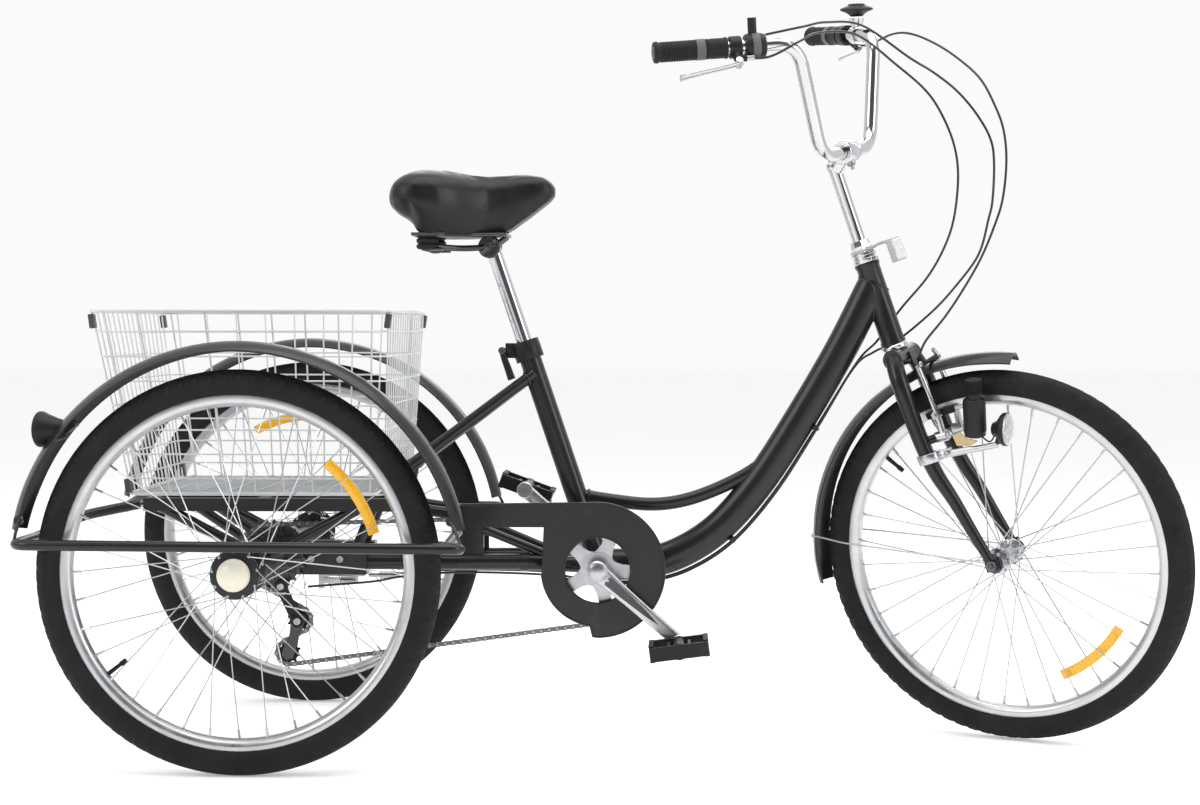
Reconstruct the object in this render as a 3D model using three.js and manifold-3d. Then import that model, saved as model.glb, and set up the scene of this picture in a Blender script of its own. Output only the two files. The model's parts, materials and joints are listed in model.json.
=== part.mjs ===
// Adult tricycle: step-through frame, one turned front wheel, two rear wheels on one axle line, wire basket.
// Millimetres. +X is forward, +Y is the rider's left and +Z is up. The ground is z = 0.
// Every position is worked out from the rear axle line (x = 0) and the steering axis. The finished group is
// then moved so that the middle of its own box stands over the origin.
import * as THREE from "three";
import { mergeVertices } from "three/addons/utils/BufferGeometryUtils.js";
import Module from "manifold-3d";

const wasm = await Module();
wasm.setup();

// ---- Driving dimensions ----

const gap = 0.4; // left between pieces that touch
const wheelRadius = 300; // a 24 inch wheel, to the tread
const wheelSegments = 32;
const tyreHalfWidth = 22;
const treadHalfWidth = 11;
const sidewallRadius = 279; // where the tyre is widest
const rimRadius = 264;
const rimHalfWidth = 13;
const rimDepth = 19;
const spokeRadius = 1.2;
const flangeHalfThickness = 2.6;
const spokesPerWheel = 36;
const rearTrack = 648;
const rearAxleRadius = 9;
const hubOverhang = 30; // from the rim's middle plane to the rear hub's outer face

const headAngle = THREE.MathUtils.degToRad(71.2);
const steeringTurn = THREE.MathUtils.degToRad(-28.8); // the handlebar rests turned to the right
const steeringPoint = new THREE.Vector3(901.3, 0, 900);
const forkRake = 65;
const forkDrop = 654.6; // from the steering point down the steering axis to the front axle's foot

const crankAxis = new THREE.Vector3(521, 0, 280);
const crankLength = 170;
const crankAngle = THREE.MathUtils.degToRad(-40.9); // of the right crank, from straight ahead
const chainLine = 75;
const chainringTeeth = 42;
const sprocketTeeth = 24;
const chainPitch = 12.7;

const seatAngleRun = 0.338; // how far the seat tube leans back for each unit of height
const seatTubeTop = 633;
const seatTubeRadius = 17.5;
const seatpostRadius = 12.5;
const saddleHeight = 812; // underside of the saddle
const beamHeight = 288;
const beamSpread = 48;
const platformHeight = 386;
const barRadius = 11;

// ---- Shapes ----

const point = (x, y, z) => new THREE.Vector3(x, y, z);
const up = point(0, 1, 0);

function solidOf(geometry) {
  const bare = geometry.clone();
  bare.deleteAttribute("normal");
  bare.deleteAttribute("uv");
  const merged = mergeVertices(bare, 1e-4);
  return new wasm.Manifold(
    new wasm.Mesh({
      numProp: 3,
      vertProperties: new Float32Array(merged.attributes.position.array),
      triVerts: new Uint32Array(merged.index.array),
    }),
  );
}

function geometryOf(solid) {
  const mesh = solid.getMesh();
  const geometry = new THREE.BufferGeometry();
  geometry.setAttribute("position", new THREE.BufferAttribute(mesh.vertProperties, 3));
  geometry.setIndex(new THREE.BufferAttribute(mesh.triVerts, 1));
  return geometry;
}

// One closed body from several that overlap.
function join(...pieces) {
  return geometryOf(pieces.map(solidOf).reduce((whole, piece) => whole.add(piece)));
}

// A body with several others taken out of it.
function cut(body, ...tools) {
  return geometryOf(tools.map(solidOf).reduce((left, tool) => left.subtract(tool), solidOf(body)));
}

// What two bodies share.
function common(first, second) {
  return geometryOf(solidOf(first).intersect(solidOf(second)));
}

// A round bar from one point to another, straight or tapered.
function rod(from, to, radius, { endRadius = radius, sides = 12 } = {}) {
  const length = from.distanceTo(to);
  const geometry = new THREE.CylinderGeometry(endRadius, radius, length, sides);
  const turn = new THREE.Quaternion().setFromUnitVectors(up, to.clone().sub(from).normalize());
  geometry.applyQuaternion(turn);
  const middle = from.clone().lerp(to, 0.5);
  return geometry.translate(middle.x, middle.y, middle.z);
}

// A bar across the machine, centred on a point.
function crossBar(centre, radius, halfWidth, options) {
  const side = point(0, halfWidth, 0);
  return rod(centre.clone().sub(side), centre.clone().add(side), radius, options);
}

// A round hole that a bar of the given radius passes through freely.
const holeSides = 12;
function hole(from, to, radius) {
  return rod(from, to, (radius + gap) / Math.cos(Math.PI / holeSides), { sides: holeSides });
}

// A box given by its size and its middle.
function block(size, middle) {
  return new THREE.BoxGeometry(size.x, size.y, size.z).translate(middle.x, middle.y, middle.z);
}

// A section swept along a curve. The section's x runs across the curve's plane and its y outwards.
function swept(section, curve, steps) {
  return new THREE.ExtrudeGeometry(section, { extrudePath: curve, steps, curveSegments: 5 });
}

function roundSection(radius, sides = 10, squeeze = 1) {
  const corners = Array.from({ length: sides }, (_, i) => {
    const angle = (i * 2 * Math.PI) / sides;
    return new THREE.Vector2(radius * squeeze * Math.cos(angle), radius * Math.sin(angle));
  });
  return new THREE.Shape(corners);
}

// A round tube on a smooth curve through points.
function pipe(points, radius, { sides = 10, steps = points.length * 3, squeeze = 1 } = {}) {
  const curve = new THREE.CatmullRomCurve3(points, false, "centripetal");
  return swept(roundSection(radius, sides, squeeze), curve, steps);
}

// Straight runs joined by rounded corners, as a bent bar has.
function bentLine(points, bend) {
  const path = new THREE.CurvePath();
  let start = points[0];
  for (let i = 1; i < points.length - 1; i++) {
    const into = points[i].clone().sub(points[i - 1]).normalize();
    const away = points[i + 1].clone().sub(points[i]).normalize();
    const before = points[i].clone().addScaledVector(into, -bend);
    const after = points[i].clone().addScaledVector(away, bend);
    path.add(new THREE.LineCurve3(start, before));
    path.add(new THREE.QuadraticBezierCurve3(before, points[i], after));
    start = after;
  }
  path.add(new THREE.LineCurve3(start, points.at(-1)));
  return path;
}

// A body turned about the Y axis from [radius, y] pairs, then moved to a centre.
function turned(profile, centre, sides = 16, phase = 0) {
  const corners = profile.map(([radius, y]) => new THREE.Vector2(radius, y));
  return new THREE.LatheGeometry(corners, sides, phase).translate(centre.x, centre.y, centre.z);
}

// A flat plate from an outline in the XZ plane, between two values of y.
function plate(shape, yLow, yHigh, curveSegments = 8) {
  const depth = yHigh - yLow;
  const geometry = new THREE.ExtrudeGeometry(shape, { depth, bevelEnabled: false, curveSegments });
  return geometry.rotateX(Math.PI / 2).translate(0, yHigh, 0);
}

const outline = (pairs) => new THREE.Shape(pairs.map(([x, z]) => new THREE.Vector2(x, z)));

// ---- Materials ----

const finish = (color, roughness, metalness) => () =>
  new THREE.MeshStandardMaterial({ color, roughness, metalness });
const blackPaint = finish(0x141416, 0.3, 0.1);
const chrome = finish(0xd9dadd, 0.12, 1);
const alloy = finish(0xb9bbbe, 0.35, 1);
const steel = finish(0x8f9194, 0.4, 1);
const rubber = finish(0x1b1b1c, 0.8, 0);
const blackPlastic = finish(0x18181a, 0.5, 0);
const blackVinyl = finish(0x1a1a1c, 0.45, 0);
const whiteWire = finish(0xeceef0, 0.4, 0.1);
const creamPlastic = finish(0xe9e7d8, 0.4, 0);
const clearPlastic = finish(0xe6e8ea, 0.15, 0);

const machine = new THREE.Group();
machine.name = "adult_tricycle";

function addTo(group, name, geometry, material) {
  const mesh = new THREE.Mesh(geometry, material());
  mesh.name = name;
  group.add(mesh);
}

const add = (name, geometry, material) => addTo(machine, name, geometry, material);
const sides = [
  { name: "right", sign: -1 },
  { name: "left", sign: 1 },
];

// ---- Wheels ----

// The flats between the lathe's corners touch the ground, so the corners lie a little further out.
const flatToCorner = 1 / Math.cos(Math.PI / wheelSegments);
const wheelPhase = Math.PI / wheelSegments;

function tyre(centre) {
  const bead = rimRadius + gap;
  const profile = [
    [bead, -rimHalfWidth + 1],
    [sidewallRadius, -tyreHalfWidth],
    [wheelRadius, -treadHalfWidth],
    [wheelRadius, treadHalfWidth],
    [sidewallRadius, tyreHalfWidth],
    [bead, rimHalfWidth - 1],
    [bead, -rimHalfWidth + 1],
  ].map(([radius, y]) => [radius * flatToCorner, y]);
  return turned(profile, centre, wheelSegments, wheelPhase);
}

function rim(centre) {
  const bed = rimRadius - rimDepth;
  const profile = [
    [bed, -6],
    [bed + 6, -rimHalfWidth],
    [rimRadius, -rimHalfWidth],
    [rimRadius, rimHalfWidth],
    [bed + 6, rimHalfWidth],
    [bed, 6],
    [bed, -6],
  ].map(([radius, y]) => [radius * flatToCorner, y]);
  return turned(profile, centre, wheelSegments, wheelPhase);
}

// Half of a flange's spokes lean forward and half back, on its two faces, so that they cross clear.
function spokes(centre, flangeRadius, flangeOffset) {
  const lean = THREE.MathUtils.degToRad(52);
  const bars = [];
  for (let i = 0; i < spokesPerWheel; i++) {
    const side = i % 2 ? 1 : -1;
    const forward = i % 4 < 2 ? 1 : -1;
    const rimTurn = (i * 2 * Math.PI) / spokesPerWheel;
    const hubTurn = rimTurn + forward * lean;
    const offset = side * (flangeOffset + forward * 1.6);
    const at = (turn, radius, y) =>
      centre.clone().add(point(radius * Math.cos(turn), y, radius * Math.sin(turn)));
    const inner = at(hubTurn, flangeRadius - 2, offset);
    const outer = at(rimTurn, rimRadius - rimDepth + 5, side * 2);
    bars.push(rod(inner, outer, spokeRadius, { sides: 3 }));
  }
  return bars;
}

function hub(centre, { flangeRadius, flangeOffset, barrelRadius, endRadius, endOffset, bore }) {
  const flange = flangeHalfThickness;
  const profile = [
    [bore, -endOffset],
    [endRadius, -endOffset],
    [endRadius, -flangeOffset - flange],
    [flangeRadius, -flangeOffset - flange],
    [flangeRadius, -flangeOffset + flange],
    [barrelRadius, -flangeOffset + flange],
    [barrelRadius, flangeOffset - flange],
    [flangeRadius, flangeOffset - flange],
    [flangeRadius, flangeOffset + flange],
    [endRadius, flangeOffset + flange],
    [endRadius, endOffset],
    [bore, endOffset],
    [bore, -endOffset],
  ];
  return turned(profile, centre, holeSides);
}

function spokedWheel(centre, size) {
  return join(rim(centre), hub(centre, size), ...spokes(centre, size.flangeRadius, size.flangeOffset));
}

const rearHub = {
  flangeRadius: 37,
  flangeOffset: 24,
  barrelRadius: 20,
  endRadius: 18,
  endOffset: hubOverhang,
  bore: rearAxleRadius + 3 * gap,
};
const frontHub = {
  flangeRadius: 21,
  flangeOffset: 31,
  barrelRadius: 13,
  endRadius: 9,
  endOffset: 46,
  bore: 5.4,
};

// ---- Rear wheels and axle ----

const rearAxleEnd = rearTrack / 2 + hubOverhang + 8;
const hubCapFace = rearAxleEnd + 12;

for (const { name, sign } of sides) {
  const centre = point(0, (sign * rearTrack) / 2, wheelRadius);
  add(`spoked_wheel_${name}`, spokedWheel(centre, rearHub), alloy);
  add(`tyre_${name}`, tyre(centre), rubber);
  // The cap is a shallow cup over the axle's end.
  const inner = rearTrack / 2 + hubOverhang + 1;
  const cup = [
    [rearAxleRadius + 2, inner],
    [24, inner],
    [24, hubCapFace - 8],
    [17, hubCapFace - 1],
    [0, hubCapFace],
    [0, hubCapFace - 3],
    [rearAxleRadius + 2, hubCapFace - 3],
    [rearAxleRadius + 2, inner],
  ].map(([radius, y]) => [radius, sign * y]);
  const profile = sign > 0 ? cup : cup.reverse();
  add(`hub_cap_${name}`, turned(profile, point(0, 0, wheelRadius), 16), creamPlastic);
}

// The brake drum is part of the shaft, in the middle of the machine.
const drum = { radius: 42, yLow: -26, yHigh: 2 };
add(
  "rear_axle",
  turned(
    [
      [0, -rearAxleEnd],
      [rearAxleRadius, -rearAxleEnd],
      [rearAxleRadius, drum.yLow],
      [drum.radius, drum.yLow],
      [drum.radius, drum.yHigh],
      [rearAxleRadius, drum.yHigh],
      [rearAxleRadius, rearAxleEnd],
      [0, rearAxleEnd],
    ],
    point(0, 0, wheelRadius),
    20,
  ),
  steel,
);

// ---- Drive train ----

const pitchRadius = (teeth) => chainPitch / (2 * Math.sin(Math.PI / teeth));
const chainHalfHeight = 3.8;
const chainHalfWidth = 2;

// Seven sprockets, stepped from the largest inboard to the smallest outboard.
function cassette() {
  const teeth = [28, 24, 22, 20, 18, 16, 14];
  const spacing = 4.6;
  const profile = [];
  teeth.forEach((count, i) => {
    const radius = pitchRadius(count) - chainHalfHeight - 0.6;
    const middle = -chainLine - (i - 1) * spacing;
    profile.push([radius, middle + spacing / 2], [radius, middle - spacing / 2]);
  });
  const bore = rearAxleRadius + 2 * gap;
  const inner = profile[0][1];
  const outer = profile.at(-1)[1];
  const closed = [[bore, inner], ...profile, [bore, outer], [bore, inner]].reverse();
  return turned(closed, point(0, 0, wheelRadius), 14);
}
add("cassette", cassette(), steel);

// The pulleys that keep the chain tight hang below the cassette.
const guidePulley = new THREE.Vector2(46, 197);
const tensionPulley = new THREE.Vector2(30, 146);
const pulleyPitch = 20;

// The belt line round wheels, each passed on its left (+1) or its right (-1), shifted sideways by an offset.
function beltLine(wheels, offset, arcSteps) {
  const line = [];
  const count = wheels.length;
  const heading = wheels.map((wheel, i) => {
    const next = wheels[(i + 1) % count];
    const gapVector = next.at.clone().sub(wheel.at);
    const change = next.side * next.radius - wheel.side * wheel.radius;
    return gapVector.angle() - Math.asin(change / gapVector.length());
  });
  wheels.forEach((wheel, i) => {
    const arriving = heading[(i + count - 1) % count];
    const turn = 2 * Math.PI;
    const swing = wheel.side * ((((heading[i] - arriving) * wheel.side) % turn + turn) % turn);
    const reach = wheel.side * wheel.radius - offset;
    for (let k = 0; k <= arcSteps[i]; k++) {
      const angle = arriving + (swing * k) / arcSteps[i] - Math.PI / 2;
      const corner = new THREE.Vector2(Math.cos(angle), Math.sin(angle)).multiplyScalar(reach);
      line.push(corner.add(wheel.at));
    }
  });
  return line;
}

function chain() {
  const wheels = [
    { at: new THREE.Vector2(crankAxis.x, crankAxis.z), radius: pitchRadius(chainringTeeth), side: 1 },
    { at: new THREE.Vector2(0, wheelRadius), radius: pitchRadius(sprocketTeeth), side: 1 },
    { at: guidePulley, radius: pulleyPitch, side: -1 },
    { at: tensionPulley, radius: pulleyPitch, side: 1 },
  ];
  const steps = [20, 12, 8, 12];
  const shape = new THREE.Shape(beltLine(wheels, -chainHalfHeight, steps));
  shape.holes.push(new THREE.Path(beltLine(wheels, chainHalfHeight, steps)));
  return plate(shape, -chainLine - chainHalfWidth, -chainLine + chainHalfWidth);
}
add("chain", chain(), steel);

// Chainring with five arms. The crank's boss passes through its middle.
const crankBossRadius = 15;
function chainring() {
  const outer = pitchRadius(chainringTeeth) - chainHalfHeight - 0.6;
  const window = { inner: 24, outer: outer - 15, half: 0.36 };
  const shape = new THREE.Shape();
  shape.absarc(0, 0, outer, 0, 2 * Math.PI);
  const arms = 5;
  for (let i = 0; i < arms; i++) {
    const middle = crankAngle + (i * 2 * Math.PI) / arms;
    const rim = [-1, -0.33, 0.33, 1].map((t) => [window.outer, middle + t * window.half]);
    const root = [1, 0, -1].map((t) => [window.inner, middle + t * window.half]);
    const corners = [...rim, ...root].map(([radius, angle]) =>
      new THREE.Vector2(radius * Math.cos(angle), radius * Math.sin(angle)));
    shape.holes.push(new THREE.Path(corners));
  }
  const bore = new THREE.Path();
  bore.absarc(0, 0, crankBossRadius + gap, 0, 2 * Math.PI, true);
  shape.holes.push(bore);
  const ring = plate(shape, -chainLine - 1.2, -chainLine + 1.2, 14);
  return ring.translate(crankAxis.x, 0, crankAxis.z);
}
add("chainring", chainring(), alloy);

const crankArm = { inner: 99, outer: 112, halfHeight: 15, endHalfHeight: 11.5 };
const pedalBore = 6.5;
const pedalSpindle = { radius: 6, end: 196 };
const pedalMiddle = 164;

const pedalPoint = (sign) => {
  const reach = point(Math.cos(crankAngle), 0, Math.sin(crankAngle)).multiplyScalar(crankLength);
  return crankAxis.clone().addScaledVector(reach, -sign);
};

// Crank arm with its boss and the pedal's spindle. The left one carries the axle of the bottom bracket.
function crank(sign) {
  const end = pedalPoint(sign);
  const across = (y) => sign * y;
  const arm = rod(crankAxis, end, crankArm.halfHeight, { endRadius: crankArm.endHalfHeight });
  const armMiddle = crankAxis.clone().setY(across((crankArm.inner + crankArm.outer) / 2));
  const reach = 3 * crankLength;
  const slab = block(point(reach, crankArm.outer - crankArm.inner, reach), armMiddle);
  const flatArm = common(arm.translate(0, armMiddle.y, 0), slab);
  const barAt = (centre, yLow, yHigh, radius, count) =>
    rod(point(centre.x, across(yLow), centre.z), point(centre.x, across(yHigh), centre.z), radius,
      { sides: count });
  const pieces = [
    flatArm,
    barAt(crankAxis, sign < 0 ? 62 : 40, crankArm.outer + 3, crankBossRadius, 16),
    barAt(end, crankArm.inner, crankArm.outer, 13, 14),
    barAt(end, crankArm.inner + 2, pedalSpindle.end, pedalSpindle.radius, 12),
  ];
  if (sign > 0) pieces.push(barAt(crankAxis, -61.5, 41, 8, 12));
  return join(...pieces);
}

function pedal({ sign, tilt }) {
  const centre = pedalPoint(sign);
  const shape = outline([[-46, -6], [-40, -13], [40, -13], [46, -6], [46, 8], [40, 12], [-40, 12], [-46, 8]]);
  const near = crankArm.outer + 6;
  const far = 2 * pedalMiddle - near;
  const body = plate(shape, Math.min(sign * near, sign * far), Math.max(sign * near, sign * far));
  const windows = [-26, 26].map((x) => block(point(22, 74, 60), point(x, sign * pedalMiddle, 0)));
  const treads = cut(body, ...windows).rotateY(tilt).translate(centre.x, 0, centre.z);
  const bore = rod(point(centre.x, sign * 100, centre.z), point(centre.x, sign * 197, centre.z), pedalBore);
  return cut(treads, bore);
}

// Each pedal hangs at its own angle: the right one nose up and the left one nose down.
const pedals = [
  { name: "right", sign: -1, tilt: -0.13 },
  { name: "left", sign: 1, tilt: 0.35 },
];
for (const side of pedals) {
  add(`crank_${side.name}`, crank(side.sign), alloy);
  add(`pedal_${side.name}`, pedal(side), blackPlastic);
}

// Chain guard: a disc with a round window over the chainring, and a straight arm back along the chain.
// The disc steps in under the crank, and stays narrow up to the arm.
function chainGuard() {
  const centre = new THREE.Vector2(crankAxis.x, crankAxis.z);
  const wide = 106;
  const narrow = 88.5;
  const window = 52;
  const step = 1.48 * Math.PI;
  const neck = 85; // below the arm the disc's back edge runs straight down, this far behind its middle
  const arm = { back: 300, low: 347, high: 383 };
  const guardFace = 88;
  const shape = new THREE.Shape();
  shape.moveTo(arm.back, arm.low);
  shape.lineTo(centre.x - neck, arm.low);
  shape.absarc(centre.x, centre.y, narrow, Math.PI, step);
  shape.absarc(centre.x, centre.y, wide, step, 2.5 * Math.PI);
  shape.lineTo(arm.back, arm.high);
  const round = new THREE.Path();
  round.absarc(centre.x, centre.y, window, 0, 2 * Math.PI, true);
  shape.holes.push(round);
  return plate(shape, -guardFace - 3, -guardFace, 12);
}
add("chain_guard", chainGuard(), blackPaint);

// ---- Derailleur ----

const cageHalfWidth = 6;
function derailleurArm() {
  const y = -chainLine - cageHalfWidth - 8;
  const top = point(20, y, 252);
  const knuckle = point(guidePulley.x, y, guidePulley.y);
  return join(
    rod(top, knuckle, 6, { sides: 8 }),
    crossBar(top, 12, 5, { sides: 10 }),
    crossBar(knuckle, 11, 5, { sides: 10 }),
  );
}
add("derailleur_arm", derailleurArm(), blackPlastic);

// Two plates joined by the axles of the two pulleys.
function derailleurCage() {
  const ends = [guidePulley, tensionPulley].map((at) => point(at.x, -chainLine, at.y));
  const strap = (y) =>
    join(
      ...ends.map((at) => crossBar(point(at.x, y, at.z), 12, 1, { sides: 8 })),
      block(point(15, 2, 58), point(0, 0, 0))
        .rotateY(-0.3)
        .translate((ends[0].x + ends[1].x) / 2, y, (ends[0].z + ends[1].z) / 2),
    );
  const pulleys = ends.map((at) => crossBar(at, pulleyPitch - chainHalfHeight - 0.8, 1.6, { sides: 12 }));
  const axles = ends.map((at) => crossBar(at, 4, cageHalfWidth, { sides: 6 }));
  return join(strap(-chainLine - cageHalfWidth), strap(-chainLine + cageHalfWidth), ...pulleys, ...axles);
}
add("derailleur_cage", derailleurCage(), blackPlastic);

// ---- Frame ----

const seatLine = (z, y = 0) => point(crankAxis.x - (z - crankAxis.z) * seatAngleRun, y, z);
const steeringAxis = point(-Math.cos(headAngle), 0, Math.sin(headAngle));
const steeringForward = point(Math.sin(headAngle), 0, Math.cos(headAngle));

// A point in the steering's own frame with the wheel straight: across, forward of the axis, up the axis.
function onSteering(across, forward, high) {
  return steeringPoint
    .clone()
    .addScaledVector(steeringForward, forward)
    .addScaledVector(steeringAxis, high)
    .add(point(0, across, 0));
}

// A box that stands square to the steering axis.
function steeredBlock(size, middle) {
  const geometry = new THREE.BoxGeometry(size.x, size.y, size.z).rotateY(headAngle - Math.PI / 2);
  return geometry.translate(middle.x, middle.y, middle.z);
}

const headTube = { low: -280, high: -143, radius: 19 };
const steererRadius = 12.7;
const downTubeLine = [
  [521, 279],
  [590, 282],
  [650, 299],
  [714, 341],
  [778, 415],
  [842, 514],
  [906, 624],
  [951, 714],
].map(([x, z]) => point(x, 0, z));
const stepTubeLine = [
  [484, 392],
  [540, 383],
  [600, 377],
  [650, 382],
  [700, 398],
  [754, 424],
  [792, 450],
].map(([x, z]) => point(x, 0, z));

const dropout = { x: 321, topHeight: 352 };
function mainFrame() {
  const pieces = [
    rod(onSteering(0, 0, headTube.low), onSteering(0, 0, headTube.high), headTube.radius),
    rod(crankAxis, seatLine(seatTubeTop), seatTubeRadius),
    crossBar(crankAxis, 21, 34),
    pipe(downTubeLine, 26, { sides: 10, steps: 14, squeeze: 0.76 }),
    pipe(stepTubeLine, 11, { sides: 8, steps: 8 }),
    crossBar(point(dropout.x, 0, dropout.topHeight), 9, beamSpread, { sides: 8 }),
  ];
  for (const { sign } of sides) {
    const y = sign * beamSpread;
    const stayFoot = point(219, y, 440);
    pieces.push(
      rod(seatLine(588, sign * 12), stayFoot, 9.5, { sides: 8 }),
      rod(stayFoot.clone().add(point(1, 0, 6)), point(212, y, 398), 7, { sides: 8 }),
      rod(point(505, sign * 24, 281), point(400, y, beamHeight), 13, { sides: 8 }),
      rod(point(408, y, beamHeight), point(60, y, beamHeight), 13, { sides: 8 }),
      rod(point(455, sign * 40, 292), point(338, y, 340), 7, { sides: 6 }),
      block(point(34, 8, 84), point(dropout.x, y, 322)),
      rod(point(330, y, 358), point(216.5, y, 375), 9, { sides: 8 }),
    );
  }
  return cut(
    join(...pieces),
    hole(onSteering(0, 0, -300), onSteering(0, 0, -120), steererRadius),
    hole(seatLine(380), seatLine(660), seatpostRadius),
    crossBar(crankAxis, 9, 60),
  );
}
add("main_frame", mainFrame(), blackPaint);

// Rear frame: basket platform, sleeves that take the beams of the main frame, and the axle's housings.
const platform = { back: -184, front: 214, halfWidth: 150, tube: 20 };
function rearFrame() {
  const { back, front, halfWidth, tube } = platform;
  const length = front - back;
  const middle = (front + back) / 2;
  const rail = tube / 2;
  const pieces = [];
  for (const x of [back + rail, 0, front - rail]) {
    pieces.push(block(point(tube, 2 * halfWidth, tube), point(x, 0, platformHeight)));
  }
  for (const { sign } of sides) {
    const y = sign * beamSpread;
    const outer = sign * (halfWidth - rail);
    const housing = sign < 0 ? [-112, -284] : [64, 284];
    pieces.push(
      block(point(length, tube, tube), point(middle, outer, platformHeight)),
      block(point(length, 16, tube), point(middle, y, platformHeight)),
      block(point(172, 32, 44), point(66, y, beamHeight + 2)),
      rod(point(0, housing[0], wheelRadius), point(0, housing[1], wheelRadius), 16, { sides: 10 }),
    );
    for (const end of [-1, 1]) {
      pieces.push(
        rod(point(end * 160, outer, 384), point(end * 6, outer, 304), 9, { sides: 6 }),
        rod(point(middle + end * 150, y, 384), point(60 + end * 70, y, 300), 8, { sides: 6 }),
      );
    }
  }
  const beamBores = sides.map(({ sign }) =>
    hole(point(50, sign * beamSpread, beamHeight), point(180, sign * beamSpread, beamHeight), 13.4),
  );
  const axleHole = hole(point(0, -300, wheelRadius), point(0, 300, wheelRadius), rearAxleRadius);
  return cut(join(...pieces), ...beamBores, axleHole);
}
add("rear_frame", rearFrame(), blackPaint);

// Band brake round the drum: a housing on the frame and an arm that pulls the band tight.
function brakeBand() {
  const y = { low: drum.yLow + 3, high: drum.yHigh - 3 };
  const ring = turned(
    [
      [drum.radius + 1, y.low],
      [drum.radius + 5, y.low],
      [drum.radius + 5, y.high],
      [drum.radius + 1, y.high],
      [drum.radius + 1, y.low],
    ],
    point(0, 0, wheelRadius),
    20,
  );
  const middle = (y.low + y.high) / 2;
  const ear = block(point(32, 10, 12), point(54, middle, 272));
  return join(ring, ear);
}
add("brake_band", brakeBand(), alloy);

const bandPivot = point(80, (drum.yLow + drum.yHigh) / 2, 264);
add(
  "brake_arm",
  join(crossBar(bandPivot, 6, 5), rod(bandPivot, bandPivot.clone().add(point(66, 0, -2)), 4, { sides: 8 })),
  alloy,
);

// Guard tube: from the platform's rear corner, round the outside of the wheel, and in to the beam behind the
// pedals' path.
const guardTubeY = 385;
for (const { name, sign } of sides) {
  const line = [
    [platform.back - 9, 140, 386],
    [-270, 190, 372],
    [-318, 250, 346],
    [-318, 385, 346],
    [338, 385, 342],
    [284, 218, 330],
    [264, 63, 298],
  ].map(([x, y, z]) => point(x, sign * y, z));
  const curve = bentLine(line, 22);
  add(`guard_tube_${name}`, swept(roundSection(8, 8), curve, 32), blackPaint);
}

// Fender: a shallow channel on an arc round a wheel, given by its angles from straight ahead.
class ArcLine extends THREE.Curve {
  constructor(centre, radius, startDegrees, endDegrees) {
    super();
    this.centre = centre;
    this.radius = radius;
    this.start = THREE.MathUtils.degToRad(startDegrees);
    this.end = THREE.MathUtils.degToRad(endDegrees);
  }

  getPoint(t) {
    const angle = THREE.MathUtils.lerp(this.start, this.end, t);
    const spoke = point(Math.cos(angle), 0, Math.sin(angle)).multiplyScalar(this.radius);
    return spoke.add(this.centre);
  }
}

function fender(centre, radius, halfWidth, start, end) {
  const drop = 14;
  const thickness = 1.6;
  const bow = (inset) => {
    const across = [-1, -0.55, 0.55, 1];
    return across.map((t) => [t * (halfWidth - inset), -drop * t * t - inset]);
  };
  const section = outline([...bow(0), ...bow(thickness).reverse()]);
  return swept(section, new ArcLine(centre, radius, start, end), 20);
}

const rearFenderRadius = 342;
for (const { name, sign } of sides) {
  const centre = point(0, (sign * rearTrack) / 2, wheelRadius);
  add(`fender_${name}`, fender(centre, rearFenderRadius, 32, 11, 169), blackPaint);
}

// Tail light on the right fender, with its lens facing back.
function tailLight() {
  const seat = point(-260, -rearTrack / 2, 513);
  const housing = turned([[0, 0], [13, 0], [27, 34], [27, 42], [0, 42]], point(0, 0, 0), 14);
  housing.rotateZ(THREE.MathUtils.degToRad(78)).translate(seat.x + 4, seat.y, seat.z - 2);
  const shell = block(point(30, 26, 18), point(seat.x + 6, seat.y, seat.z + 3));
  const clearance = new ArcLine(point(0, seat.y, wheelRadius), rearFenderRadius - 8, 100, 169);
  const arch = outline([[-45, -20], [45, -20], [45, 9], [-45, 9]]);
  return cut(join(housing, shell), swept(arch, clearance, 16));
}
add("tail_light", tailLight(), blackPlastic);

// Basket: an open tapered box with thin walls.
function basket() {
  const bottom = { z: 402, halfLength: 198, halfWidth: 190, middle: 0 };
  const top = { z: 690, halfLength: 229, halfWidth: 243, middle: -16 };
  const wall = 4;
  const tub = (inset, zLow, zHigh) => {
    const at = (z) => {
      const t = (z - bottom.z) / (top.z - bottom.z);
      const length = THREE.MathUtils.lerp(bottom.halfLength, top.halfLength, t) - inset;
      const width = THREE.MathUtils.lerp(bottom.halfWidth, top.halfWidth, t) - inset;
      const middle = THREE.MathUtils.lerp(bottom.middle, top.middle, t);
      return { length, width, middle };
    };
    const geometry = new THREE.BoxGeometry(1, 1, 1);
    const corners = geometry.attributes.position;
    for (let i = 0; i < corners.count; i++) {
      const z = corners.getZ(i) > 0 ? zHigh : zLow;
      const { length, width, middle } = at(z);
      corners.setXYZ(i, middle + 2 * corners.getX(i) * length, 2 * corners.getY(i) * width, z);
    }
    return geometry;
  };
  return cut(tub(0, bottom.z, top.z), tub(wall, bottom.z + wall, top.z + 20));
}
add("basket", basket(), whiteWire);

// ---- Saddle ----

const clampTop = 640;
add(
  "seat_clamp",
  cut(
    join(
      rod(seatLine(610), seatLine(clampTop), seatTubeRadius + 5),
      block(point(16, 20, 22), seatLine(624).add(point(-26, 0, 0))),
    ),
    hole(seatLine(600), seatLine(seatTubeTop), seatTubeRadius),
    hole(seatLine(600), seatLine(660), seatpostRadius),
  ),
  blackPaint,
);

const leverPivot = seatLine(624).add(point(-40, 0, 0));
add(
  "seat_lever",
  join(
    crossBar(leverPivot, 5, 17, { sides: 8 }),
    rod(leverPivot.clone().add(point(0, -14, 0)), leverPivot.clone().add(point(16, -20, -46)), 4.5,
      { endRadius: 6, sides: 8 }),
  ),
  steel,
);

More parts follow.
